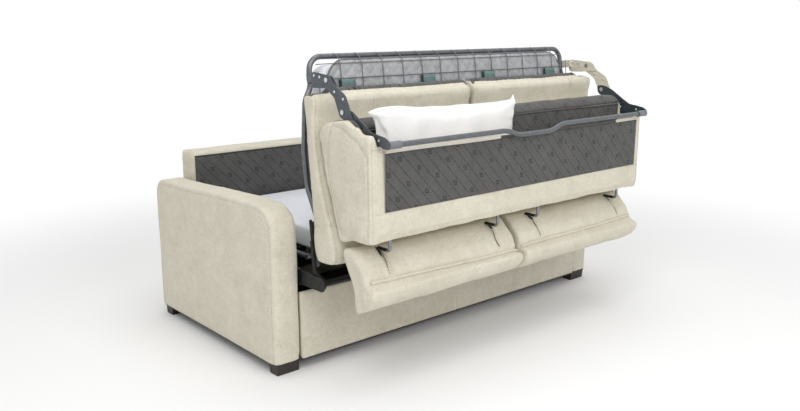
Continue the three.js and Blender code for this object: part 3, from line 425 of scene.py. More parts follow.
# evens out a remeshed skin without shrinking it
def relax(piece, rounds):
    mesh = piece.data
    edges = np.empty(len(mesh.edges) * 2, dtype=np.int64)
    mesh.edges.foreach_get("vertices", edges)
    edges = edges.reshape(-1, 2)
    places = placesOf(piece)
    size = len(places)
    count = np.bincount(edges.ravel(), minlength=size).astype(float)
    for _ in range(rounds):
        for strength in relaxSteps:
            pull = np.zeros_like(places)
            for axis in range(3):
                pull[:, axis] = np.bincount(edges[:, 0], places[edges[:, 1], axis], size)
                pull[:, axis] += np.bincount(edges[:, 1], places[edges[:, 0], axis], size)
            places += strength * (pull / count[:, None] - places)
    setPlaces(piece, places)


# boxes with rounded edges; each one's own rounding is as large as its thin side allows
def boxesPiece(name, boxes, material, rounding, cuts=9):
    shell = bmesh.new()
    bmesh.ops.create_cube(shell, size=2.0)
    bmesh.ops.subdivide_edges(shell, edges=shell.edges[:], cuts=cuts, use_grid_fill=True)
    unit = np.array([v.co for v in shell.verts])
    shell.verts.index_update()
    faces = [[v.index for v in f.verts] for f in shell.faces]
    shell.free()
    points, allFaces = [], []
    for sides in boxes:
        low, high = np.array(sides, float).T
        half, radius = (high - low) / 2, min(rounding, (high - low).min() * nearHalf)
        spots = unit * half
        core = np.clip(spots, radius - half, half - radius)
        away = spots - core
        size = np.linalg.norm(away, axis=1)[:, None]
        spots = np.where(size > tiny, core + away / np.maximum(size, tiny) * radius, spots)
        allFaces += [[i + len(points) for i in f] for f in faces]
        points += list(spots + (low + high) / 2)
    return newPiece(name, points, allFaces, material)


# a closed skin of two equal grids that share their border; placeOf gives (x, y, z) from -1..1, -1..1 and the side
def twinSkin(name, across, up, placeOf, material):
    points, index, faces = [], {}, []
    for side in (-1, 1):
        for i in range(across + 1):
            for j in range(up + 1):
                if side == 1 and (i in (0, across) or j in (0, up)):
                    index[(1, i, j)] = index[(-1, i, j)]
                    continue
                index[(side, i, j)] = len(points)
                points.append(placeOf(2 * i / across - 1, 2 * j / up - 1, side))
    for side in (-1, 1):
        for i in range(across):
            for j in range(up):
                face = [index[(side, *spot)] for spot in ((i, j), (i + 1, j), (i + 1, j + 1), (i, j + 1))]
                faces.append(face if side == -1 else face[::-1])
    return newPiece(name, points, faces, material)


nearPlane = 0.004


# a copy of a node's own shape; stretch lengthens it past the planes where it is trimmed later
def nodePiece(name, node, material, stretch=()):
    skin = bmesh.new()
    skin.from_mesh(nodes[node].data)
    bmesh.ops.remove_doubles(skin, verts=skin.verts, dist=0.00002)
    for place, normal, length in stretch:
        for vertex in skin.verts:
            if (vertex.co - Vector(place)).dot(Vector(normal)) > -nearPlane:
                vertex.co += Vector(normal) * length
    return meshPiece(name, skin, material)


def addModifier(piece, kind, **settings):
    modifier = piece.modifiers.new(kind.lower(), kind)
    for key, value in settings.items():
        setattr(modifier, key, value)
    return modifier


# a padded skin with an even mesh, ready to be puffed
def softSkin(piece, voxel, rounds, shrink):
    addModifier(piece, "REMESH", mode="VOXEL", voxel_size=voxel, use_smooth_shade=True)
    bake(piece)
    relax(piece, rounds)
    setPlaces(piece, placesOf(piece) - normalsOf(piece) * shrink)


puffLook = {"frames": 20, "quality": 4, "pressure": 4, "quick": 0.7}


def addCloth(piece):
    cloth = addModifier(piece, "CLOTH")
    cloth.settings.quality = puffLook["quality"]
    cloth.settings.use_pressure = True
    cloth.settings.uniform_pressure_force = puffLook["pressure"]
    cloth.settings.effector_weights.gravity = 0
    cloth.collision_settings.use_collision = False
    cloth.point_cache.frame_start = 1
    cloth.point_cache.frame_end = puffLook["frames"]


# inflates the waiting skins together, then keeps each point within its cap
def puffSkins(waiting):
    starts = [placesOf(piece) for piece, _ in waiting]
    for piece, _ in waiting:
        addCloth(piece)
    scene = bpy.context.scene
    for number in range(puffLook["frames"]):
        scene.frame_set(number + 1)
    view = bpy.context.evaluated_depsgraph_get()
    for (piece, cap), start in zip(waiting, starts):
        move = vectorsOf("co", piece.evaluated_get(view).data) - start
        size = np.linalg.norm(move, axis=1)
        share = np.where(size > cap, cap / np.maximum(size, tiny), 1.0)
        piece.modifiers.clear()
        setPlaces(piece, start + move * share[:, None])
    scene.frame_set(1)


def refine(piece):
    addModifier(piece, "SUBSURF", levels=1, render_levels=1)
    return bake(piece)


cutLook = {"near": 0.00001, "flat": 0.00005}


# cuts a skin off flat on the side that the normal points to, and closes it
def trim(piece, place, normal):
    skin = bmesh.new()
    skin.from_mesh(piece.data)
    place, normal = Vector(place), Vector(normal)
    geometry = skin.verts[:] + skin.edges[:] + skin.faces[:]
    bmesh.ops.bisect_plane(
        skin, geom=geometry, dist=cutLook["near"], plane_co=place, plane_no=normal, clear_outer=True)
    bmesh.ops.holes_fill(skin, edges=[e for e in skin.edges if e.is_boundary], sides=0)
    for face in skin.faces:
        face.smooth = abs((face.calc_center_median() - place).dot(normal)) >= cutLook["flat"]
    skin.to_mesh(piece.data)
    skin.free()
    piece.data.update()
    return piece


def skinTree(piece):
    return BVHTree.FromObject(piece, bpy.context.evaluated_depsgraph_get())


def spread(route, step):
    route = np.asarray(route, float)
    spans = np.linalg.norm(np.diff(route, axis=0), axis=1)
    reach = np.concatenate([[0], np.cumsum(spans)])
    count = max(2, int(round(reach[-1] / step)) + 1)
    marks = np.linspace(0, reach[-1], count)
    return np.stack([np.interp(marks, reach, route[:, axis]) for axis in range(3)], axis=1)


# rounds each inner corner of a route with an arc of its own radius
def roundRoute(corners, radius, steps):
    corners = [Vector(c) for c in corners]
    route = [corners[0]]
    for before, corner, after in zip(corners, corners[1:], corners[2:]):
        back, on = (before - corner).normalized(), (after - corner).normalized()
        half = back.angle(on) / 2
        reach = min(radius / math.tan(half), *[(end - corner).length * nearHalf for end in (before, after)])
        centre = corner + (back + on).normalized() * reach / math.cos(half)
        first, last = corner + back * reach - centre, corner + on * reach - centre
        sweep = first.angle(last)
        for number in range(steps + 1):
            before, after = math.sin(sweep * (1 - number / steps)), math.sin(sweep * number / steps)
            route.append(centre + (first * before + last * after) / math.sin(sweep))
    route.append(corners[-1])
    return [tuple(c) for c in route]


# geometry node trees

def geometryTree(name, **inputs):
    given = {"Geometry": "Geometry", **inputs, "Material": "Material"}
    return newTree("GeometryNodeTree", name, given, {"Geometry": "Geometry"})


def closeTree(tree, geometry, material, sink):
    whole = addNode(tree, "GeometryNodeRealizeInstances", {"Geometry": geometry})
    shaded = addNode(tree, "GeometryNodeSetShadeSmooth", {"Geometry": whole})
    done = addNode(tree, "GeometryNodeSetMaterial", {"Geometry": shaded, "Material": material})
    tree.links.new(done.outputs[0], sink[0])


# wire, tube or piping along drawn lines
def buildTubeTree():
    tree, given, sink = geometryTree("tubeAlong", Radius=0.01, Sides=16)
    line = addNode(tree, "GeometryNodeMeshToCurve", {"Mesh": given["Geometry"]})
    ring = {"Resolution": given["Sides"], "Radius": given["Radius"]}
    section = addNode(tree, "GeometryNodeCurvePrimitiveCircle", ring)
    body = addNode(tree, "GeometryNodeCurveToMesh", {
        "Curve": line, "Profile Curve": section, "Fill Caps": True,
    })
    closeTree(tree, body, given["Material"], sink)
    return tree


# small stitches laid end to end along drawn lines
def buildStitchTree():
    tree, given, sink = geometryTree("stitchesAlong", Pitch=0.007, Length=0.0045, Thickness=0.0008)
    line = addNode(tree, "GeometryNodeMeshToCurve", {"Mesh": given["Geometry"]})
    spots = addNode(tree, "GeometryNodeCurveToPoints", {"Curve": line, "Length": given["Pitch"]}, mode="LENGTH")
    bead = addNode(tree, "GeometryNodeMeshUVSphere", {"Segments": 6, "Rings": 4, "Radius": 0.5})
    size = addNode(tree, "ShaderNodeCombineXYZ", {0: given["Length"], 1: given["Thickness"], 2: given["Thickness"]})
    stitch = addNode(tree, "GeometryNodeTransform", {"Geometry": bead, "Scale": size})
    facing = addNode(tree, "FunctionNodeAlignRotationToVector", {"Vector": spots.outputs["Tangent"]}, axis="X")
    laid = addNode(tree, "GeometryNodeInstanceOnPoints", {
        "Points": spots.outputs["Points"], "Instance": stitch, "Rotation": facing,
    })
    closeTree(tree, laid, given["Material"], sink)
    return tree


# domed rivet heads on points that carry a "facing" vector
def buildRivetTree():
    tree, given, sink = geometryTree("rivetHeads", Radius=0.006, Height=0.0025)
    ball = addNode(tree, "GeometryNodeMeshUVSphere", {"Segments": 16, "Rings": 8, "Radius": 1.0})
    size = addNode(tree, "ShaderNodeCombineXYZ", {0: given["Radius"], 1: given["Radius"], 2: given["Height"]})
    head = addNode(tree, "GeometryNodeTransform", {"Geometry": ball, "Scale": size})
    facing = addNode(tree, "GeometryNodeInputNamedAttribute", {"Name": "facing"}, data_type="FLOAT_VECTOR")
    turned = addNode(tree, "FunctionNodeAlignRotationToVector", {"Vector": facing}, axis="Z")
    placed = addNode(tree, "GeometryNodeInstanceOnPoints", {
        "Points": given["Geometry"], "Instance": head, "Rotation": turned,
    })
    closeTree(tree, placed, given["Material"], sink)
    return tree


tubeTree = buildTubeTree()
stitchTree = buildStitchTree()
rivetTree = buildRivetTree()


# draws chains of points as lines, grows the tree on them and keeps the result as one plain mesh
def grow(name, tree, chains, values, facing=None):
    points, edges = [], []
    for chain in chains:
        start = len(points)
        points += [tuple(float(c) for c in p) for p in chain]
        edges += [(i, i + 1) for i in range(start, len(points) - 1)]
    mesh = bpy.data.meshes.new(name)
    mesh.from_pydata(points, edges if facing is None else [], [])
    if facing is not None:
        way = mesh.attributes.new("facing", "FLOAT_VECTOR", "POINT")
        way.data.foreach_set("vector", np.asarray(facing, float).ravel())
    piece = standObject(name, mesh)
    modifier = addModifier(piece, "NODES", node_group=tree)
    sockets = [i for i in tree.interface.items_tree if i.item_type == "SOCKET" and i.in_out == "INPUT"]
    for socket in sockets:
        if socket.name in values:
            modifier[socket.identifier] = values[socket.name]
    bake(piece)
    if "facing" in piece.data.attributes:
        piece.data.attributes.remove(piece.data.attributes["facing"])
    return piece


# what a piece rides on and the nodes that it stands for, which are hidden; the slot is not used
def dress(piece, body, slot, *replaced):
    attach(piece, body)
    if replaced:
        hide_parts(*replaced)
    return piece


def dressPadded(piece, body, slot, fill, *replaced):
    dress(piece, body, slot, *replaced)
    return piece


def dressSheet(piece, body, slot, flat, restsOn, *replaced):
    dress(piece, body, slot, *replaced)


tubeSides = {"coarse": 8, "plain": 10, "soft": 12, "fine": 20, "smooth": 28}


# finish and sides are those of the tube; its body, slot and replaced nodes follow
def tubePiece(name, chains, radius, finish, sides, *dressing):
    values = {"Radius": radius, "Sides": tubeSides[sides], "Material": finishes[finish]}
    return dress(grow(name, tubeTree, chains, values), *dressing)


# seams: a groove in the skin and a run of stitches in it, whose darker thread also paints the groove's shade

seamRuns = {}
seamLook = {"reach": 3, "part": 4000, "far": 9.0, "above": 0.0002}


def project(tree, route, offset=0.0):
    places = []
    for point in route:
        spot, normal, _, _ = tree.find_nearest(Vector(point))
        places.append(tuple(spot + normal * offset))
    return np.array(places)


def nearRoute(places, route, reach):
    low, high = route.min(axis=0) - reach, route.max(axis=0) + reach
    near = np.where(np.all((places > low) & (places < high), axis=1))[0]
    distance = np.full(len(places), seamLook["far"])
    for start in range(0, len(near), seamLook["part"]):
        part = near[start:start + seamLook["part"]]
        gap = places[part][:, None, :] - route[None, :, :]
        distance[part] = np.sqrt((gap ** 2).sum(axis=2).min(axis=1))
    return distance


def sewSeam(piece, body, rough, groove=0.0022, spreadWidth=0.009, step=0.007, stitched=True):
    route = project(skinTree(piece), spread(rough, step))
    places = placesOf(piece)
    distance = nearRoute(places, route, spreadWidth * seamLook["reach"])
    depth = groove * np.exp(-(distance / spreadWidth) ** 2)
    setPlaces(piece, places - normalsOf(piece) * depth[:, None])
    if stitched:
        seamRuns.setdefault(body, []).append(project(skinTree(piece), route, seamLook["above"]))
    return route


# the padded skins, made first so that they are puffed together

skins = {
    "arm": {"voxel": 0.015, "rounds": 7, "cap": 0.004},
    "fixedBack": {"voxel": 0.015, "rounds": 8, "cap": 0.004},
    "frontRail": {"voxel": 0.010, "rounds": 4, "cap": 0.002},
    "seat": {"voxel": 0.012, "rounds": 7, "cap": 0.006},
    "backrest": {"voxel": 0.012, "rounds": 14, "cap": 0.006},
    "headrest": {"voxel": 0.0095, "rounds": 8, "cap": 0.006},
    "mattress": {"voxel": 0.018, "rounds": 6, "cap": 0.006},
    "bend": {"voxel": 0.012, "rounds": 6, "cap": 0.004},
}
waiting = []


def waitFor(piece, kind):
    look = skins[kind]
    softSkin(piece, look["voxel"], look["rounds"], look["cap"])
    waiting.append((piece, look["cap"]))
    return piece


def nodeSkin(name, node, kind, finish="cream", stretch=()):
    return waitFor(nodePiece(name, node, finishes[finish], stretch), kind)


foot = {"level": 0.0502, "stretch": 0.045, "railEnd": 0.8698, "railStretch": 0.04, "even": 0.03}
footPlane = ((0, 0, foot["level"]), (0, 0, -1))
railPlanes = [((sign * foot["railEnd"], 0, 0), (sign, 0, 0)) for _, sign in sides]
footStretch = (*footPlane, foot["stretch"])
railStretch = [(*plane, foot["railStretch"]) for plane in railPlanes] + [footStretch]
seatFoot = {"above": 0.0064, "stretch": 0.03}
seatPlane = (stackPoint(0, 0, seatFoot["above"]), tuple(-aboveStack))
seatStretch = [(*seatPlane, seatFoot["stretch"])]
arms = {side: nodeSkin(f"armPad_{side}", f"arm_{side}", "arm", "cream", [footStretch]) for side, _ in sides}
fixedBack = nodeSkin("backPad", "fixed_back", "fixedBack", "cream", [footStretch])
frontRail = nodeSkin("railPad", "front_rail", "frontRail", "cream", railStretch)
seats = {side: nodeSkin(f"seatCushion_{side}", f"seat_{side}", "seat", "cream", seatStretch) for side, _ in sides}

backBox = {
    "rear": -0.395, "split": -0.286, "bottom": 0.580, "floor": 0.648, "wallTop": 0.990, "panelTop": 0.935,
    "panel": 0.030, "inset": 0.016, "rounding": 0.030, "joined": 0.075, "shoulder": 0.036, "shoulderTop": 1.014,
    "gap": 0.001,
}
boxRear, boxFront = sofaFront + backBox["rear"], sofaFront + backBox["split"]


# the front cushion and the box's walls, floor and rear panel are sewn into one padded body round the pocket
def backrestSkin():
    outer, pocket, low = width["back"], width["pocket"] + backBox["gap"], backBox["bottom"]
    deep, joined, shoulder = outer - backBox["inset"], boxFront + backBox["joined"], boxFront - backBox["shoulder"]
    leftWall, rightWall = (-outer, -pocket), (pocket, outer)
    boxes = [
        ((-outer, outer), (boxRear, joined), (low, backBox["floor"])),
        (leftWall, (boxRear, joined), (low, backBox["wallTop"])),
        (rightWall, (boxRear, joined), (low, backBox["wallTop"])),
        (leftWall, (shoulder, joined), (low, backBox["shoulderTop"])),
        (rightWall, (shoulder, joined), (low, backBox["shoulderTop"])),
        ((-deep, deep), (boxRear, boxRear + backBox["panel"]), (low, backBox["panelTop"])),
    ]
    whole, cream = bmesh.new(), finishes["cream"]
    cushion = nodePiece("cushionPart", "back_cushion", cream)
    for piece in (cushion, boxesPiece("boxPart", boxes, cream, backBox["rounding"])):
        whole.from_mesh(piece.data)
        bpy.data.objects.remove(piece)
    return meshPiece("backrestPad", whole, cream)


backrestPad = waitFor(backrestSkin(), "backrest")
headrests = {side: nodeSkin(f"headrestPad_{side}", f"headrest_{side}", "headrest") for side, _ in sides}
bedMattress = nodeSkin("bedMattressPad", "bed_mattress", "mattress", "mattress")
headMattress = nodeSkin("headMattressPad", "head_mattress", "mattress", "mattress")
bendPad = nodeSkin("mattressBendPad", "mattress_bend", "bend", "mattress")
print("skins remeshed,", [(p.name, len(p.data.vertices)) for p, _ in waiting])

# the pillow starts flat and is blown up between its seams
pillow = {
    "left": -0.797, "right": -0.014, "bottom": 0.6486, "body": 1.058, "tilt": 0.020, "middle": -0.611,
    "half": 0.0325, "step": 0.008, "rise": 0.012, "cap": 0.026, "lean": 0.020, "pull": 0.3, "tip": 0.014,
    "tipFrom": 0.88, "swell": 0.003, "blunt": 0.016,
    "skin": 0.002, "gather": 0.004, "gatherEnds": (0.30, 0.39), "pitch": 0.042, "wander": (1.5, 0.1, 73),
    "crease": (0.0032, 0.11, 71), "wave": (0.0022, 0.16, 72), "waveRise": (0.70, 1.0),
}


# its left end leans out over the pocket's wall and its right upper corner is drawn to a tip
def pillowSkin():
    wide, high = pillow["right"] - pillow["left"], pillow["body"] - pillow["bottom"]

    def placeOf(u, v, side):
        left, right, top = max(0.0, -u), max(0.0, u), max(0.0, v)
        tip = max(0.0, (u - pillow["tipFrom"]) / (1 - pillow["tipFrom"]))
        x = pillow["left"] + pillow["lean"] + (u + 1) / 2 * (wide - pillow["lean"])
        x -= pillow["lean"] * (left ** 2 * top ** 4 + pillow["pull"] * right ** 4 * top ** 2)
        z = pillow["bottom"] + (v + 1) / 2 * high + pillow["swell"] * (1 - u ** 6) * top ** 4
        z += pillow["tip"] * tip ** 1.5 * top ** 3
        z += pillow["tilt"] * left * (v + 1) / 2 - pillow["blunt"] * left ** 10 * top ** 4
        return (x, pillow["middle"] + side * pillow["rise"] * (1 - u ** 4) * (1 - v ** 4), z)

    across, up = round(wide / pillow["step"]), round(high / pillow["step"])
    return twinSkin("pillowCushion", across, up, placeOf, finishes["pillow"])


pillowPad = pillowSkin()
waiting.append((pillowPad, pillow["cap"]))
puffSkins(waiting)
print("skins puffed")

# arms, fixed back and front rail

armLook = {
    "crown": 0.004, "ripple": (0.0007, 0.22, 11), "seamInset": 0.024, "bottom": 0.0503, "seamFoot": 0.0543,
    "height": 0.688, "front": 0.118, "bow": 1.25, "rear": 0.080, "rearDrop": 0.024, "depth": 1.010,
    "handles": (0.4, 0.7), "steps": (12, 20, 8), "outer": 1.000, "inner": 0.870, "crownFrom": 0.05, "crownHigh": 0.64,
}


def bow(a, b, c, steps):
    shares = [number / steps for number in range(1, steps + 1)]
    return [(1 - s) ** 2 * a + 2 * s * (1 - s) * b + s * s * c for s in shares]


def longBow(a, b, c, d, steps):
    shares = [number / steps for number in range(1, steps + 1)]
    return [(1 - s) ** 3 * a + 3 * (1 - s) ** 2 * s * b + 3 * (1 - s) * s * s * c + s ** 3 * d for s in shares]


# the arm's upper edge as the part draws it, drawn in by a distance
def armRoute(x, inset):
    high, depth, front = armLook["height"], armLook["depth"], armLook["front"]
    low, start, end = high - armLook["rearDrop"], front * armLook["bow"], depth - armLook["rear"]
    first, second = (depth * share for share in armLook["handles"])
    route = [(0, armLook["seamFoot"]), (0, high - front)]
    few, many, fewer = armLook["steps"]
    route += zip(bow(0, 0, start, few), bow(high - front, high, high, few))
    route += zip(longBow(start, first, second, end, many), longBow(high, high, low, low, many))
    route += zip(bow(end, depth, depth, fewer), bow(low, low, low - armLook["rear"], fewer))
    line = np.array(route + [(depth, armLook["seamFoot"])])
    turn = np.gradient(line, axis=0)
    turn /= np.linalg.norm(turn, axis=1)[:, None]
    line = line + np.stack([turn[:, 1], -turn[:, 0]], axis=1) * inset
    return [(x, y + sofaFront, max(z, armLook["bottom"])) for y, z in line]


def footEven(z):
    return smoothStep(z, foot["level"], foot["level"] + foot["even"])


def humpOf(shares):
    return np.clip(np.sin(np.clip(shares, 0, 1) * math.pi), 0, 1)


for side, sign in sides:
    pad = trim(refine(arms[side]), *footPlane)
    places = placesOf(pad)
    y, z = places[:, 1] - sofaFront, places[:, 2]
    middle = humpOf(y / armLook["depth"]) * humpOf((z - armLook["crownFrom"]) / armLook["crownHigh"])
    lift = armLook["crown"] * middle * np.abs(normalsOf(pad)[:, 0])
    lift += ripple(places, *armLook["ripple"], sign)
    raiseSkin(pad, lift * footEven(z))
    for face in ("outer", "inner"):
        sewSeam(pad, "base", armRoute(sign * armLook[face], armLook["seamInset"]))
    dressPadded(pad, "base", "fabric_cream", fills["base"], f"arm_{side}")

backLook = {"ripple": (0.0008, 0.25, 5), "rear": 1.003, "seamHalf": 0.85, "seamFoot": 0.06, "seamTop": 0.765}
trim(refine(fixedBack), *footPlane)
places = placesOf(fixedBack)
raiseSkin(fixedBack, ripple(places, *backLook["ripple"]) * footEven(places[:, 2]))
corners = ((-1, "seamFoot"), (-1, "seamTop"), (1, "seamTop"), (1, "seamFoot"))
rearSeam = sofaFront + backLook["rear"]
sewSeam(fixedBack, "base", [(sign * backLook["seamHalf"], rearSeam, backLook[level]) for sign, level in corners])
dressPadded(fixedBack, "base", "fabric_cream", fills["base"], "fixed_back")

railLook = {"ripple": (0.0005, 0.18, 6), "even": 0.02, "seam": (0.055, 0.322), "groove": (0.0015, 0.006)}
refine(frontRail)
for plane in [footPlane] + railPlanes:
    trim(frontRail, *plane)
places = placesOf(frontRail)
lift = ripple(places, *railLook["ripple"]) * footEven(places[:, 2])
raiseSkin(frontRail, lift * smoothStep(foot["railEnd"] - np.abs(places[:, 0]), 0.0, railLook["even"]))
sewSeam(frontRail, "base", [(0.0, sofaFront, level) for level in railLook["seam"]], *railLook["groove"])
dressPadded(frontRail, "base", "fabric_cream", fills["base"], "front_rail")
print("base padded")


# seats

seatLook = {
    "ripple": (0.0012, 0.16, 21), "rippleFrom": (0.0065, 0.03), "pucker": 0.018, "groove": (0.003, 0.008),
    "length": 0.674, "thickness": 0.1344, "overhang": 0.006, "lift": 0.0062, "gap": 0.0015, "endInset": 0.020,
    "liningAlong": 0.62, "liningAbove": 0.056, "under": 0.02, "widen": ((0.10, 0.45, 0.66), (0.005, 0.002, -0.004)),
    "widenFrom": (0.78, 0.85), "facing": 0.7,
}
endLook = {
    "bulge": 0.017, "low": (0.040, 0.066), "dip": 0.005, "dipAbove": (0.056, 0.074), "along": (0.625, 0.655),
    "side": 0.03, "tuft": 0.0010, "pitch": 0.030, "slant": 900, "crush": (0.0016, 0.022, 25),
}
seatOutline = [
    (0.068, 0.003), (0.38, 0.003), (0.72, 0.003), (0.96, 0.01), (0.996, 0.06), (0.99, 0.36), (0.976, 0.6),
    (0.962, 0.65), (0.929, 0.62), (0.855, 0.501), (0.76, 0.442), (0.632, 0.472), (0.506, 0.531), (0.395, 0.65),
    (0.313, 0.725), (0.221, 0.873), (0.151, 0.933), (0.098, 1), (0.039, 0.993), (0.009, 0.896), (0, 0.71),
    (0.009, 0.412), (0.015, 0.07),
]


def seatRoute(x):
    long, thick = seatLook["length"], seatLook["thickness"]
    marks = seatOutline + seatOutline[:1]
    return [stackPoint(x, a * long - seatLook["overhang"], b * thick + seatLook["lift"]) for a, b in marks]


def stackShares(places):
    places = places - np.array(stackPoint(0, 0, 0))
    return places @ np.array(alongStack), places @ np.array(aboveStack)


# the rear end's lining stands higher than the cream top, gathered in small tufts
def bulgeEnd(pad):
    places = placesOf(pad)
    along, above = stackShares(places)
    inside = smoothStep(width["lining"] - np.abs(places[:, 0]), 0.0, endLook["side"])
    end = smoothStep(along, *endLook["along"]) * inside
    tufts = endLook["tuft"] * np.sin(places[:, 0] * 2 * math.pi / endLook["pitch"] + endLook["slant"] * above)
    tufts += ripple(places, *endLook["crush"])
    low = 1 - smoothStep(above, *endLook["low"])
    rise = (endLook["bulge"] + tufts) * low - endLook["dip"] * smoothStep(above, *endLook["dipAbove"])
    setPlaces(pad, places + (end * rise)[:, None] * np.array(alongStack))


def widenSeat(pad, sign):
    places = placesOf(pad)
    share = smoothStep(np.abs(places[:, 0]), *seatLook["widenFrom"])
    places[:, 0] += sign * np.interp(stackShares(places)[0], *seatLook["widen"]) * share
    setPlaces(pad, places)


# the cushion's underside and the lower part of its rear end are dark lining
def lineSeat(pad):
    places = placesOf(pad)
    along, above = stackShares(places)
    layPattern(pad, np.stack([places[:, 0], along + above], axis=1))
    pad.data.materials.append(finishes["lining"])
    slots = []
    for face in pad.data.polygons:
        spots = list(face.vertices)
        level = above[spots].mean()
        rear = along[spots].mean() > seatLook["liningAlong"] and level < seatLook["liningAbove"]
        under = face.normal.dot(aboveStack) < -seatLook["facing"] and level < seatLook["under"]
        slots.append(1 if under or (rear and abs(face.normal.x) < seatLook["facing"]) else 0)
    pad.data.polygons.foreach_set("material_index", slots)


def puckerAlong(pad, route):
    distance = nearRoute(placesOf(pad), route, seatLook["pucker"] * 2)
    layer = pad.data.attributes.new("pucker", "FLOAT", "POINT")
    layer.data.foreach_set("value", np.exp(-(distance / seatLook["pucker"]) ** 2))


for side, sign in sides:
    pad = trim(refine(seats[side]), *seatPlane)
    places = placesOf(pad)
    lift = ripple(places, *seatLook["ripple"], sign)
    raiseSkin(pad, lift * smoothStep(stackShares(places)[1], *seatLook["rippleFrom"]))
    bulgeEnd(pad)
    widenSeat(pad, sign)
    outer, inner = width["seat"] - seatLook["endInset"], seatLook["gap"] + seatLook["endInset"]
    puckerAlong(pad, sewSeam(pad, "bed", seatRoute(sign * outer), *seatLook["groove"]))
    sewSeam(pad, "bed", seatRoute(sign * inner), *seatLook["groove"])
    lineSeat(pad)
    dressPadded(pad, "bed", "fabric_cream", fills["cushion"], f"seat_{side}")
print("seats padded")


# backrest

backrestEnd = {
    "front": [(-0.172, 1.002), (-0.150, 0.93), (-0.135, 0.85), (-0.150, 0.75), (-0.185, 0.66), (-0.215, 0.60)],
    "over": [(-0.185, 1.000), (-0.235, 0.992), (-0.275, 0.970), (-0.320, 0.955), (-0.372, 0.900), (-0.376, 0.75),
             (-0.372, 0.62)],
}
backrestLook = {
    "ripple": (0.0014, 0.18, 31), "corner": 0.022, "seam": (0.60, 0.965), "groove": (0.0028, 0.008),
    "side": (0.0018, 0.006), "front": (0.0050, 0.008), "over": (0.0042, 0.0065), "levels": (0.697, 0.928),
}
refine(backrestPad)
raiseSkin(backrestPad, ripple(placesOf(backrestPad), *backrestLook["ripple"]))
for _, sign in sides:
    corner, end = sign * (width["back"] - backrestLook["corner"]), sign * width["back"]
    upright = [(corner, boxRear, level) for level in backrestLook["seam"]]
    sewSeam(backrestPad, "backrest", upright, *backrestLook["groove"])
    for level in backrestLook["levels"]:
        across = [(x, boxRear, level) for x in (corner, sign * width["lining"])]
        sewSeam(backrestPad, "backrest", across, *backrestLook["side"])
    # over the end: the front panel's seam and the end panel's seam that comes down the box's corner
    for run, marks in backrestEnd.items():
        sewSeam(backrestPad, "backrest", [(end, sofaFront + y, z) for y, z in marks], *backrestLook[run])
dressPadded(backrestPad, "backrest", "fabric_cream", fills["cushion"], "back_cushion", "back_box")
print("backrest padded")


def fitAlong(places, axis, start, end):
    low, high = places[:, axis].min(), places[:, axis].max()
    places[:, axis] = start + (places[:, axis] - low) * (end - start) / (high - low)


def finishPillow():
    places = placesOf(pillowPad)
    fitAlong(places, 0, pillow["left"], pillow["right"])
    fitAlong(places, 2, pillow["bottom"], pillow["body"] + pillow["tilt"])
    depth = places[:, 1] - pillow["middle"]
    depth *= min(1.0, (pillow["half"] - pillow["skin"]) / np.abs(depth).max())
    share = np.clip(np.abs(depth) / pillow["half"] * 2, 0, 1)
    centre = (pillow["left"] + pillow["right"]) / 2
    wander = ripple(places, *pillow["wander"])
    puckers = pillow["gather"] * smoothStep(np.abs(places[:, 0] - centre), *pillow["gatherEnds"])
    puckers *= np.sin(places[:, 2] * 2 * math.pi / pillow["pitch"] + wander)
    creases = ripple(places, *pillow["crease"])
    places[:, 1] = pillow["middle"] + depth + share * (creases + puckers)
    wave = ripple(places, *pillow["wave"])
    places[:, 2] += wave * smoothStep(places[:, 2], *pillow["waveRise"])
    setPlaces(pillowPad, places)
    dressPadded(refine(pillowPad), "backrest", "pillow_fabric", fills["pillow"], "pillow")


finishPillow()


# headrests

restLook = {
    "ripple": (0.0014, 0.15, 41), "welt": (0.0075, 0.013, 0.008), "weltRadius": 0.0062, "weltLift": 0.0030,
    "left": [(-0.812, -0.646, 0.441), (-0.50, -0.651, 0.435), (-0.2, -0.656, 0.428), (-0.012, -0.656, 0.428)],
    "right": [(0.012, -0.652, 0.435), (0.27, -0.651, 0.436), (0.5, -0.651, 0.436), (0.812, -0.646, 0.441)],
    "darts": {"left": (-0.705, -0.119), "right": (0.148, 0.735)},
    "dart": [(-0.560, 0.545), (-0.589, 0.521), (-0.615, 0.492), (-0.640, 0.455)], "dartGroove": (0.013, 0.010, 0.006),
    "step": 0.005, "smoothing": 12, "crease": 0.0013, "slit": 0.0045, "slitPoints": 2, "sink": -0.001,
}


# a line laid on the pad and smoothed, as far as the given number of the dart's points
def dartLine(pad, x, points, offset):
    marks = spread([(x, y, z) for y, z in restLook["dart"][:points]], restLook["step"])
    line = project(skinTree(pad), marks, offset)
    for _ in range(restLook["smoothing"]):
        line[1:-1] = (line[:-2] + line[1:-1] + line[2:]) / 3
    return line


for side, sign in sides:
    pad, body, darts = refine(headrests[side]), f"headrest_{side}", restLook["darts"][side]
    raiseSkin(pad, ripple(placesOf(pad), *restLook["ripple"], sign))
    for x in darts:
        sewSeam(pad, body, [(x, y, z) for y, z in restLook["dart"]], *restLook["dartGroove"], False)
    route = sewSeam(pad, body, restLook[side], *restLook["welt"], False)
    welt = project(skinTree(pad), route, restLook["weltLift"])
    # thin dark tubes along each dart paint the shade in its crease
    creases = [dartLine(pad, x, len(restLook["dart"]), 0.0) for x in darts]
    # a near-black tube sunk into the upper end of each dart paints the shade of the slit where the rod goes in
    slitShades = [dartLine(pad, x, restLook["slitPoints"], restLook["sink"]) for x in darts]
    dressing = (body, "fabric_cream")
    tubePiece(f"headrestWelt_{side}", [welt], restLook["weltRadius"], "cream", "plain", *dressing)
    tubePiece(f"headrestCreaseShade_{side}", creases, restLook["crease"], "crease", "coarse", *dressing)
    tubePiece(f"headrestSlitShade_{side}", slitShades, restLook["slit"], "darkEdgeAndSlitShade", "soft", *dressing)
    dressPadded(pad, *dressing, fills["firm"], body)

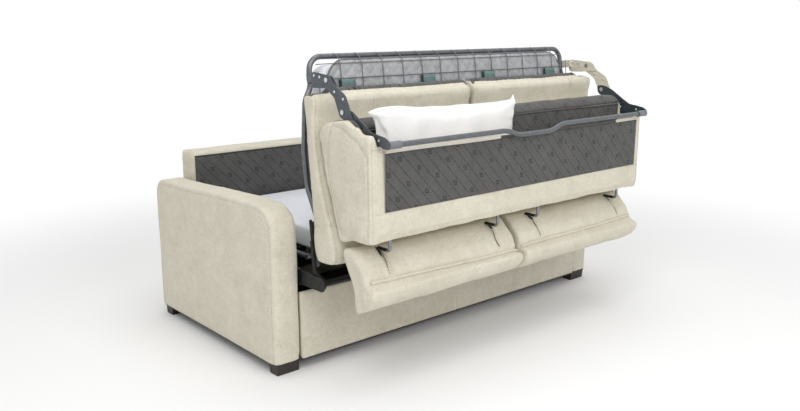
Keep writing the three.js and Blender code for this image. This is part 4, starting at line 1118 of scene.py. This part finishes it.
dressPadded(refine(bedMattress), "bed", "mattress_fabric", fills["firm"], "bed_mattress")
dressPadded(refine(headMattress), "head_section", "mattress_fabric", fills["firm"], "head_mattress")
bendLook = {
    "gather": 0.0032, "pitch": 0.030, "slant": 0.4, "wander": (1.4, 0.2, 61), "ends": (0.60, 0.72),
    "ripple": (0.0022, 0.09, 62),
}
places = placesOf(refine(bendPad))
wander = ripple(places, *bendLook["wander"])
slant = places[:, 2] + bendLook["slant"] * places[:, 1]
lift = bendLook["gather"] * np.sin(2 * math.pi * slant / bendLook["pitch"] + wander)
lift *= smoothStep(np.abs(places[:, 0]), *bendLook["ends"])
raiseSkin(bendPad, lift + ripple(places, *bendLook["ripple"]))
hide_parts("mattress_bend")
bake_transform(bendPad)
print("headrests and mattresses padded")


# sheets of lining cloth

clothLook = {"thickness": 0.0012, "length": 0.28, "swell": 0.5, "edge": 0.05}
flatSheets = {
    "backLiningCloth": {
        "half": 0.8555, "bottom": 0.118, "top": 0.758, "y": sofaFront + 0.8665, "step": 0.014, "wave": 0.0025,
        "seed": 51,
    },
    "rearLiningCloth": {
        "half": width["lining"], "bottom": 0.703, "top": 0.920, "y": boxRear - 0.001, "step": 0.010, "wave": 0.0035,
        "seed": 52,
    },
    "pocketLining": {
        "half": width["lining"], "bottom": 0.660, "top": 0.9835, "y": -0.5742, "step": 0.012, "wave": 0.0016,
        "seed": 53,
    },
}


def gridSheet(name, places, pattern, finish, thickness):
    rows, columns = places.shape[:2]
    starts = [i * columns + j for i in range(rows - 1) for j in range(columns - 1)]
    faces = [(a, a + columns, a + columns + 1, a + 1) for a in starts]
    piece = newPiece(name, places.reshape(-1, 3), faces, finishes[finish])
    layPattern(piece, pattern.reshape(-1, 2))
    addModifier(piece, "SOLIDIFY", thickness=thickness, offset=1)
    return bake(piece)


# an upright sheet that faces the front, a little wavy inside its edges
def flatSheet(name):
    look = flatSheets[name]
    half, bottom, top = look["half"], look["bottom"], look["top"]
    across, up = (max(2, int(size / look["step"])) for size in (2 * half, top - bottom))
    u, v = np.meshgrid(np.linspace(-half, half, across), np.linspace(bottom, top, up), indexing="ij")
    flat = np.stack([u, np.full_like(u, look["y"]), v], axis=2)
    swell = ripple(flat.reshape(-1, 3), clothLook["swell"], clothLook["length"], look["seed"])
    rise = clothLook["swell"] + swell.reshape(u.shape)
    edge = np.minimum(np.minimum(u + half, half - u), np.minimum(v - bottom, top - v))
    flat[:, :, 1] -= look["wave"] * rise * smoothStep(edge, 0.0, clothLook["edge"])
    return gridSheet(name, flat, np.stack([u, v], axis=2), "lining", clothLook["thickness"])


def flatSize(name):
    look = flatSheets[name]
    return (2 * look["half"], look["top"] - look["bottom"])


# a hem, seam or edge from start to end at y, rising and falling a little
def levelRun(start, end, y, level, wave=0.0, pace=0.0, turn=0.0, steps=40):
    return [(x, y, level + wave * math.sin(pace * x + turn)) for x in np.linspace(start, end, steps)]


backHalf = flatSheets["backLiningCloth"]["half"]
edgeLook = {"y": 0.8655, "level": 0.7585, "radius": 0.0026}
backLining = flatSheet("backLiningCloth")
dressSheet(backLining, "base", "lining_dark", flatSize("backLiningCloth"), "fixed_back", "back_lining")
edgeTube = [levelRun(-backHalf, backHalf, sofaFront + edgeLook["y"], edgeLook["level"])]
tubePiece("backLiningEdge", edgeTube, edgeLook["radius"], "darkEdgeAndSlitShade", "coarse", "base", "lining_dark")

hemLook = {
    "radius": 0.0048, "paleRadius": 0.00624, "above": 0.0015, "wave": (0.9205, 0.0012, 9, 1), "paleLeft": -0.18,
    "paleRight": 0.60,
}
rearLining = flatSheet("rearLiningCloth")
dressSheet(rearLining, "backrest", "lining_dark", flatSize("rearLiningCloth"), "backrestPad", "rear_lining")
hemEnds = [-width["lining"], hemLook["paleLeft"], hemLook["paleRight"], width["lining"]]
hemRuns = [levelRun(*ends, boxRear - hemLook["above"], *hemLook["wave"]) for ends in zip(hemEnds, hemEnds[1:])]
tubePiece("rearLiningHem", hemRuns[1:2], hemLook["radius"], "liningEdge", "plain", "backrest", "lining_dark")
tubePiece("rearLiningHemPale", hemRuns[::2], hemLook["paleRadius"], "hem", "plain", "backrest", "fabric_cream")

# the front cushion's rear half is covered by lining, down into the pocket
rollLook = {
    "half": 0.812, "step": 0.010, "lift": 0.0016, "start": 0.30,
    "profile": [(-0.2846, 0.986), (-0.281, 1.0045), (-0.268, 1.0246), (-0.244, 1.0337), (-0.199, 1.0286),
                (-0.149, 1.0186), (-0.117, 1.0075)],
}


def rollSheet():
    half, step = rollLook["half"], rollLook["step"]
    profile = spread([(0.0, sofaFront + y, z) for y, z in rollLook["profile"]], step)
    skin = skinTree(backrestPad)
    sheet, pattern = [], []
    for x in np.linspace(-half, half, int(2 * half / step)):
        column = project(skin, profile + np.array([x, 0, 0]), rollLook["lift"])
        column[:, 0] = x
        sheet.append(column[::-1])
        pattern.append([(x, rollLook["start"] - step * k) for k in range(len(profile))])
    return gridSheet("rollLining", np.array(sheet), np.array(pattern), "lining", clothLook["thickness"])


seamLine = {"y": -0.5757, "wave": (0.9835, 0.0016, 7, 0, 80), "radius": 0.0036}
rollLining = rollSheet()
pocketLining = flatSheet("pocketLining")
pocketSeam = [levelRun(-width["lining"], width["lining"], seamLine["y"], *seamLine["wave"])]
tubePiece("pocketSeam", pocketSeam, seamLine["radius"], "liningEdge", "plain", "backrest", "lining_dark")
rollLength = sum(math.dist(a, b) for a, b in zip(rollLook["profile"], rollLook["profile"][1:]))
for piece, flat in ((rollLining, (2 * rollLook["half"], rollLength)), (pocketLining, flatSize("pocketLining"))):
    dressSheet(piece, "backrest", "lining_dark", flat, "backrestPad", "back_box")
print("lining laid")


# steel tubes, bars, rods and nets

frameLook = {
    "radius": 0.011, "near": 0.020, "corner": 0.085, "below": -0.007, "far": 0.794,
    "half": [(0.822, 0.020, -0.007), (0.822, 0.190, -0.007), (0.822, 0.300, -0.050), (0.822, 0.440, -0.050),
             (0.79635, 0.630, -0.050), (0.765, 0.680, -0.050), (0.765, 0.794, -0.050)],
}
left = [stackPoint(-x, along, above) for x, along, above in frameLook["half"]]
right = [stackPoint(x, along, above) for x, along, above in reversed(frameLook["half"])]
frameRoute = roundRoute(left + right, frameLook["corner"], steps=12)
nearReach = width["wide"] + frameLook["radius"]
nearTube = [stackPoint(x, frameLook["near"], frameLook["below"]) for x in (-nearReach, nearReach)]
tubePiece("bedFrameTube", [frameRoute, nearTube], frameLook["radius"], "tube", "fine", "bed", "tube_grey", "bed_frame")

netLook = {
    "radius": 0.0017, "spacing": 0.108, "rows": 13, "near": 0.031, "lastRow": 0.763, "rowStep": 0.058, "flatTo": 0.68,
    "level": -0.007, "flatEnd": 0.715, "inset": 0.006, "turnIn": 0.06, "steps": 24, "lineSteps": 12,
    "end": [(0.0, -0.040), (0.004, -0.026), (0.015, -0.012), (0.035, -0.007)],
}
netTurn = [
    (0.735, -0.007), (0.758, -0.0075), (0.776, -0.012), (0.789, -0.022), (0.7965, -0.034), (0.8005, -0.0405),
    (0.8055, -0.050),
]
turnAlong, turnAbove = zip(*netTurn)


# how far the ring's middle line stands out beside the net's far rows
def ringHalf(along):
    corner = frameLook["corner"]
    over = max(along - (frameLook["far"] - corner), 0.0)
    return width["frame"] - corner + math.sqrt(max(corner ** 2 - over ** 2, 0.0))


def netRow(along):
    level = np.interp(along, turnAlong, turnAbove)
    if along < netLook["flatTo"]:
        return [stackPoint(x, along, level) for x in np.linspace(-width["net"], width["net"], netLook["steps"])]
    half = ringHalf(along) - netLook["inset"]
    end = [(half - inwards, min(above, level)) for inwards, above in netLook["end"]]
    inner = half - netLook["turnIn"]
    flat = [(x, level) for x in np.linspace(-inner, inner, netLook["steps"])]
    return [stackPoint(x, along, above) for x, above in [(-x, n) for x, n in end] + flat + end[::-1]]


def bedNet():
    count = int(round(2 * width["net"] / netLook["spacing"]))
    flatRun = np.linspace(netLook["near"], netLook["flatEnd"], netLook["lineSteps"])
    chains = []
    for number in range(count + 1):
        x = (2 * number / count - 1) * width["net"]
        far = [p for p in netTurn if ringHalf(p[0]) > abs(x)] if 0 < number < count else netTurn[:1]
        flat = [(along, netLook["level"]) for along in flatRun]
        chains.append([stackPoint(x, along, above) for along, above in flat + far])
    chains += [netRow(netLook["lastRow"] - number * netLook["rowStep"]) for number in range(netLook["rows"])]
    chains.append([stackPoint(x, netLook["near"], frameLook["below"]) for x in (-width["net"], width["net"])])
    return chains


tubePiece("bedNet", bedNet(), netLook["radius"], "wire", "coarse", "bed", "wire_grey", "bed_mesh")


padLook = {
    "half": 0.712, "near": 0.118, "far": 0.778, "corner": 0.095, "top": -0.0095, "bottom": -0.0172, "step": 0.0065,
    "diamond": 0.062, "groove": 0.0036, "grooveWidth": 0.0065, "edge": 0.010, "wrinkle": 0.0007, "ahead": 0.005,
    "waves": ((31, 5, 17), (47, 3, 23)),
    "binding": 0.0038, "bindingAbove": -0.0133, "bindingStep": 0.02,
}


# how far the pad turns down under the net's turned wires
def padFall(along):
    return float(np.interp(along + padLook["ahead"], turnAlong, [above - netLook["level"] for above in turnAbove]))


# how deep the pad is sewn and wrinkled at a place
def padHollow(x, along):
    size = padLook["diamond"]
    gaps = [abs(((x + way * along) / size) % 1.0 - 0.5) * size * diagonal for way in (-1, 1)]
    sewn = max(math.exp(-(gap / padLook["grooveWidth"]) ** 2) for gap in gaps)
    (pace, bend, crossPace), (longPace, longBend, sidePace) = padLook["waves"]
    waves = math.sin(pace * x + bend * math.sin(crossPace * along))
    waves *= math.sin(longPace * along + longBend * math.sin(sidePace * x))
    return padLook["groove"] * sewn + padLook["wrinkle"] * (1 + waves) / 2


# the quilted pad: diamonds sewn into its upper side, a round edge and two round far corners
def padSkin():
    look, wide, long = padLook, 2 * padLook["half"], padLook["far"] - padLook["near"]
    middle = (look["top"] + look["bottom"]) / 2

    def placeOf(u, v, side):
        along = look["near"] + (v + 1) / 2 * long
        over = max(0.0, along - (look["far"] - look["corner"]))
        half = look["half"] - look["corner"] + math.sqrt(max(look["corner"] ** 2 - over ** 2, 0.0))
        x = u * half
        edge = min(1.0, min(half - abs(x), along - look["near"], look["far"] - along) / look["edge"])
        swell = math.sqrt(max(0.0, 1 - (1 - edge) ** 2))
        if side == -1:
            return stackPoint(x, along, middle + (look["bottom"] - middle) * swell + padFall(along))
        rise = (look["top"] - middle - padHollow(x, along)) * swell
        return stackPoint(x, along, middle + rise + padFall(along))

    across, up = round(wide / look["step"]), round(long / look["step"])
    return twinSkin("quiltedPadCover", across, up, placeOf, finishes["quilt"])


dressPadded(padSkin(), "bed", "quilt_silver", fills["quilt"], "quilted_pad")
corners = ((-1, "near"), (-1, "far"), (1, "far"), (1, "near"))
flatRoute = [(sign * padLook["half"], padLook[end], 0) for sign, end in corners]
flatRoute = spread(roundRoute(flatRoute, padLook["corner"], steps=16), padLook["bindingStep"])
binding = [stackPoint(x, along, padLook["bindingAbove"] + padFall(along)) for x, along, _ in flatRoute]
tubePiece("padBinding", [binding], padLook["binding"], "binding", "plain", "bed", "quilt_silver")

beltLook = {
    "places": (-0.61965, -0.1874, 0.1874, 0.61965), "half": 0.039, "near": 0.0717, "far": 0.700, "above": -0.0046,
    "thickness": 0.0022, "step": 0.013, "strapHalf": 0.66, "strap": (0.045, 0.0715), "tabAcross": (-0.041, -0.029),
    "tabAlong": (0.664, 0.7005), "tabAbove": (-0.0049, -0.0020), "tabRounding": 0.0012,
}


def beltSheet(name, left, right, near, far):
    step = beltLook["step"]
    across = np.linspace(left, right, max(3, int((right - left) / step)))
    along = np.linspace(near, far, max(3, int((far - near) / step)))
    u, v = np.meshgrid(across, along, indexing="ij")
    places = np.array([[stackPoint(x, reach, beltLook["above"]) for x, reach in zip(*row)] for row in zip(u, v)])
    piece = gridSheet(name, places, np.stack([u, v], axis=2), "belt", beltLook["thickness"])
    dressSheet(piece, "bed", "belt_elastic", (right - left, far - near), "bedNet", "elastic_belts")


for number, x in enumerate(beltLook["places"]):
    beltSheet(f"belt_{number + 1}", x - beltLook["half"], x + beltLook["half"], beltLook["near"], beltLook["far"])
beltSheet("beltCrossStrap", -beltLook["strapHalf"], beltLook["strapHalf"], *beltLook["strap"])
tabs = [
    ([x + away for away in beltLook["tabAcross"]], beltLook["tabAlong"], beltLook["tabAbove"])
    for x in beltLook["places"]
]
tabPiece = boxesPiece("beltTabs", tabs, finishes["beltEnd"], beltLook["tabRounding"], cuts=5)
setPlaces(tabPiece, np.array([stackPoint(*p) for p in placesOf(tabPiece)]))
dress(tabPiece, "bed", "belt_elastic")

# rivets on both faces of the plates, one mesh for each body
rivetLook = {"radius": 0.0058, "height": 0.0022}
rivetPlates = {
    "bed": ((0.7854, 0.7897), [(0.712, 0.048), (0.720, 0.013)]),
    "back_links": ((0.7902, 0.7942), [(0.652, 0.138), (0.623, 0.187)]),
    "backrest": ((0.7854, 0.7897), [(0.516, 0.245), (0.486, 0.279), (0.470, 0.365)]),
}
for body, (faces, marks) in rivetPlates.items():
    spots, facing = [], []
    for _, sign in sides:
        for face, outwards in zip(faces, (-1, 1)):
            spots += [stackPoint(sign * face, along, above) for along, above in marks]
            facing += [(sign * outwards, 0, 0)] * len(marks)
    values = {"Radius": rivetLook["radius"], "Height": rivetLook["height"], "Material": finishes["rivet"]}
    dress(grow(f"rivets_{body}", rivetTree, [spots], values, facing), body, "chrome_rod")
print("pad, belts and rivets made")

headNetLook = {"columns": 14, "along": (0.112, 0.836), "rows": (0.17, 0.74), "count": 8, "steps": 10}


def headNet():
    level = (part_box("head_mesh")[0][2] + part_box("head_mesh")[1][2]) / 2
    half, columns, count = width["net"], headNetLook["columns"], headNetLook["count"]
    across = [-half + number * 2 * half / columns for number in range(1, columns)]
    chains = [[(x, sofaFront + y, level) for y in np.linspace(*headNetLook["along"], count)] for x in across]
    rows = np.linspace(*headNetLook["rows"], count)
    return chains + [[(x, sofaFront + y, level) for x in np.linspace(-half, half, headNetLook["steps"])] for y in rows]


tubePiece("headNet", headNet(), netLook["radius"], "wire", "coarse", "head_section", "wire_grey", "head_mesh")

barLook = {
    "y": -0.712, "z": 0.948, "low": 0.924, "dip": 0.105, "shoulder": 0.170, "end": 0.785, "radius": 0.010, "bend": 0.16,
}
halfBar = [(barLook["end"], barLook["z"]), (barLook["shoulder"], barLook["z"]), (barLook["dip"], barLook["low"])]
barRoute = [(-x, barLook["y"], z) for x, z in halfBar] + [(x, barLook["y"], z) for x, z in halfBar[::-1]]
barRoute = roundRoute(barRoute, barLook["bend"], steps=12)
tubePiece("standBarTube", [barRoute], barLook["radius"], "tube", "smooth", "backrest", "tube_grey", "stand_bar")
crossLook = {"half": 0.8697, "y": -0.232, "z": 0.300, "radius": 0.0125}
crossRoute = [(x, crossLook["y"], crossLook["z"]) for x in (-crossLook["half"], crossLook["half"])]
dressing = ("base", "steel_black", "base_cross_tube")
tubePiece("crossTube", [crossRoute], crossLook["radius"], "blackSteel", "smooth", *dressing)

# the rods that carry the headrests, each with its foot painted black as painted shade where it goes into the headrest
rodLook = {
    "radius": 0.0065, "y": -0.634, "top": 0.616, "hinge": 0.541, "front": -0.5665, "bend": 0.014,
    "places": {"left_outer": -0.712, "left_inner": -0.1289, "right_inner": 0.1289, "right_outer": 0.712},
}
for label, place in rodLook["places"].items():
    marks = ((rodLook["y"], rodLook["top"]), (rodLook["y"], rodLook["hinge"]), (rodLook["front"], rodLook["hinge"]))
    route = roundRoute([(place, y, z) for y, z in marks], rodLook["bend"], steps=10)
    dressing = ("backrest", "chrome_rod", f"headrest_rod_{label}")
    rod = tubePiece(f"rod_{label}", [route], rodLook["radius"], "rod", "fine", *dressing)
    # past this point the foot takes black steel as painted shade of the headrest's slit
    rod.data.materials.append(finishes["blackSteel"])
    shadedFootFrom = rodLook["y"] + rodLook["bend"]
    slots = [1 if face.center.y > shadedFootFrom else 0 for face in rod.data.polygons]
    rod.data.polygons.foreach_set("material_index", slots)
print("steel made")


# corner brackets: the nodes' own plates, their feet drawn in to the ring's width

bracketLook = {"below": -0.012, "reach": 0.7765}
for (side, _), finish in zip(sides, ("greySteel", "creamPaint")):
    plate = nodePiece(f"cornerBracket_{side}", f"corner_bracket_{side}", finishes[finish])
    places = placesOf(plate)
    low = stackShares(places)[1] < bracketLook["below"]
    places[low, 0] = np.clip(places[low, 0], -bracketLook["reach"], bracketLook["reach"])
    setPlaces(plate, places)
    dress(plate, "bed", "steel_grey", f"corner_bracket_{side}")


# finishes of the nodes that stay; a name that ends in _* has a left and a right

kept = {
    "wood": ("front_foot_*", "rear_foot_*", "bottom_board"),
    "blackSteel": ("side_channel_*", "guide_rail_*", "carriage_*", "cradle_plate_*", "pivot_shaft", "bed_bracket_*"),
    "greySteel": ("back_link_left", "end_plate_left"),
    "blueSteel": ("end_plate_right",),
    "creamPaint": ("back_link_right",),
    "tube": ("side_rail_*", "head_frame"),
    "rivet": ("link_pin_*", "back_pin_*"),
    "plastic": ("bar_collar_*",),
}
for finish, names in kept.items():
    for materials in [nodes[name.replace("*", side)].data.materials for name in names for side, _ in sides]:
        materials.clear()
        materials.append(finishes[finish])


# stitches, one mesh for each body; their thread is darker than the cream cloth, real thread with painted shade of the
# seam grooves

stitchLook = {"Pitch": 0.0065, "Length": 0.0046, "Thickness": 0.0011}
for body, runs in seamRuns.items():
    stitches = grow(f"stitches_{body}", stitchTree, runs, {**stitchLook, "Material": finishes["threadAndGrooveShade"]})
    dress(stitches, body, "fabric_cream")
print("seams stitched")


# floor, backdrop light and lamps

stage = {"size": 16.0, "floor": linear(243, 243, 243), "fadeFrom": 1.8, "fadeTo": 3.6, "world": 0.66, "lift": 0.015}
white = (1, 1, 1, 1)


# one for the rays that see the floor and the backdrop, nought for those that light the object
def seenDirectly(tree):
    path = tree.nodes.new("ShaderNodeLightPath").outputs
    mirrored = calc(tree, "MAXIMUM", path["Is Glossy Ray"], path["Is Transmission Ray"])
    return calc(tree, "MAXIMUM", path["Is Camera Ray"], mirrored)


def buildFloor():
    half = stage["size"]
    corners = [(-half, -half, 0), (half, -half, 0), (half, half, 0), (-half, half, 0)]
    floor = newPiece("floor", corners, [(0, 1, 2, 3)], bpy.data.materials.new("paleFloor"))
    material = floor.data.materials[0]
    material.use_nodes = True
    tree = material.node_tree
    tree.nodes.clear()
    out = tree.nodes.new("ShaderNodeOutputMaterial")
    matte = addNode(tree, "ShaderNodeBsdfDiffuse", {"Color": stage["floor"]})
    light = addNode(tree, "ShaderNodeEmission", {"Color": white, "Strength": 1.0})
    place = tree.nodes.new("ShaderNodeTexCoord").outputs["Object"]
    far = addNode(tree, "ShaderNodeVectorMath", {0: place}, operation="LENGTH").outputs["Value"]
    ends = {"Value": far, "From Min": stage["fadeFrom"], "From Max": stage["fadeTo"]}
    fade = addNode(tree, "ShaderNodeMapRange", ends, interpolation_type="SMOOTHSTEP")
    seen = seenDirectly(tree)
    strength = calc(tree, "MULTIPLY", seen, stage["lift"])
    lift = addNode(tree, "ShaderNodeEmission", {"Color": white, "Strength": strength})
    bright = addNode(tree, "ShaderNodeAddShader", {0: matte, 1: lift})
    share = calc(tree, "MULTIPLY", fade.outputs[0], seen)
    mix = addNode(tree, "ShaderNodeMixShader", {0: share, 1: bright, 2: light})
    tree.links.new(mix.outputs[0], out.inputs["Surface"])


def buildWorld():
    world = bpy.data.worlds.new("studio")
    bpy.context.scene.world = world
    world.use_nodes = True
    tree = world.node_tree
    ends = {"Value": seenDirectly(tree), "To Min": stage["world"], "To Max": 1.0}
    strength = addNode(tree, "ShaderNodeMapRange", ends).outputs[0]
    fillInputs(tree, tree.nodes["Background"], {"Color": white, "Strength": strength})


lamps = {
    "key": {"place": (-3.0, -2.2, 4.2), "size": 2.6, "power": 60.0},
    "front": {"place": (-0.4, -4.4, 3.0), "size": 3.0, "power": 60.0},
    "top": {"place": (0.3, -0.4, 4.8), "size": 3.5, "power": 48.0},
}
lampAim = Vector((0, 0, 0.5))


def buildLamp(name, look):
    data = bpy.data.lights.new(name, "AREA")
    data.shape = "DISK"
    data.size = look["size"]
    data.energy = look["power"]
    lamp = standObject(name, data)
    lamp.location = look["place"]
    lamp.rotation_euler = (lampAim - Vector(look["place"])).to_track_quat("-Z", "Y").to_euler()


buildFloor()
buildWorld()
for name, look in lamps.items():
    buildLamp(name, look)
bpy.context.scene.view_settings.view_transform = "Standard"
print("stage lit")
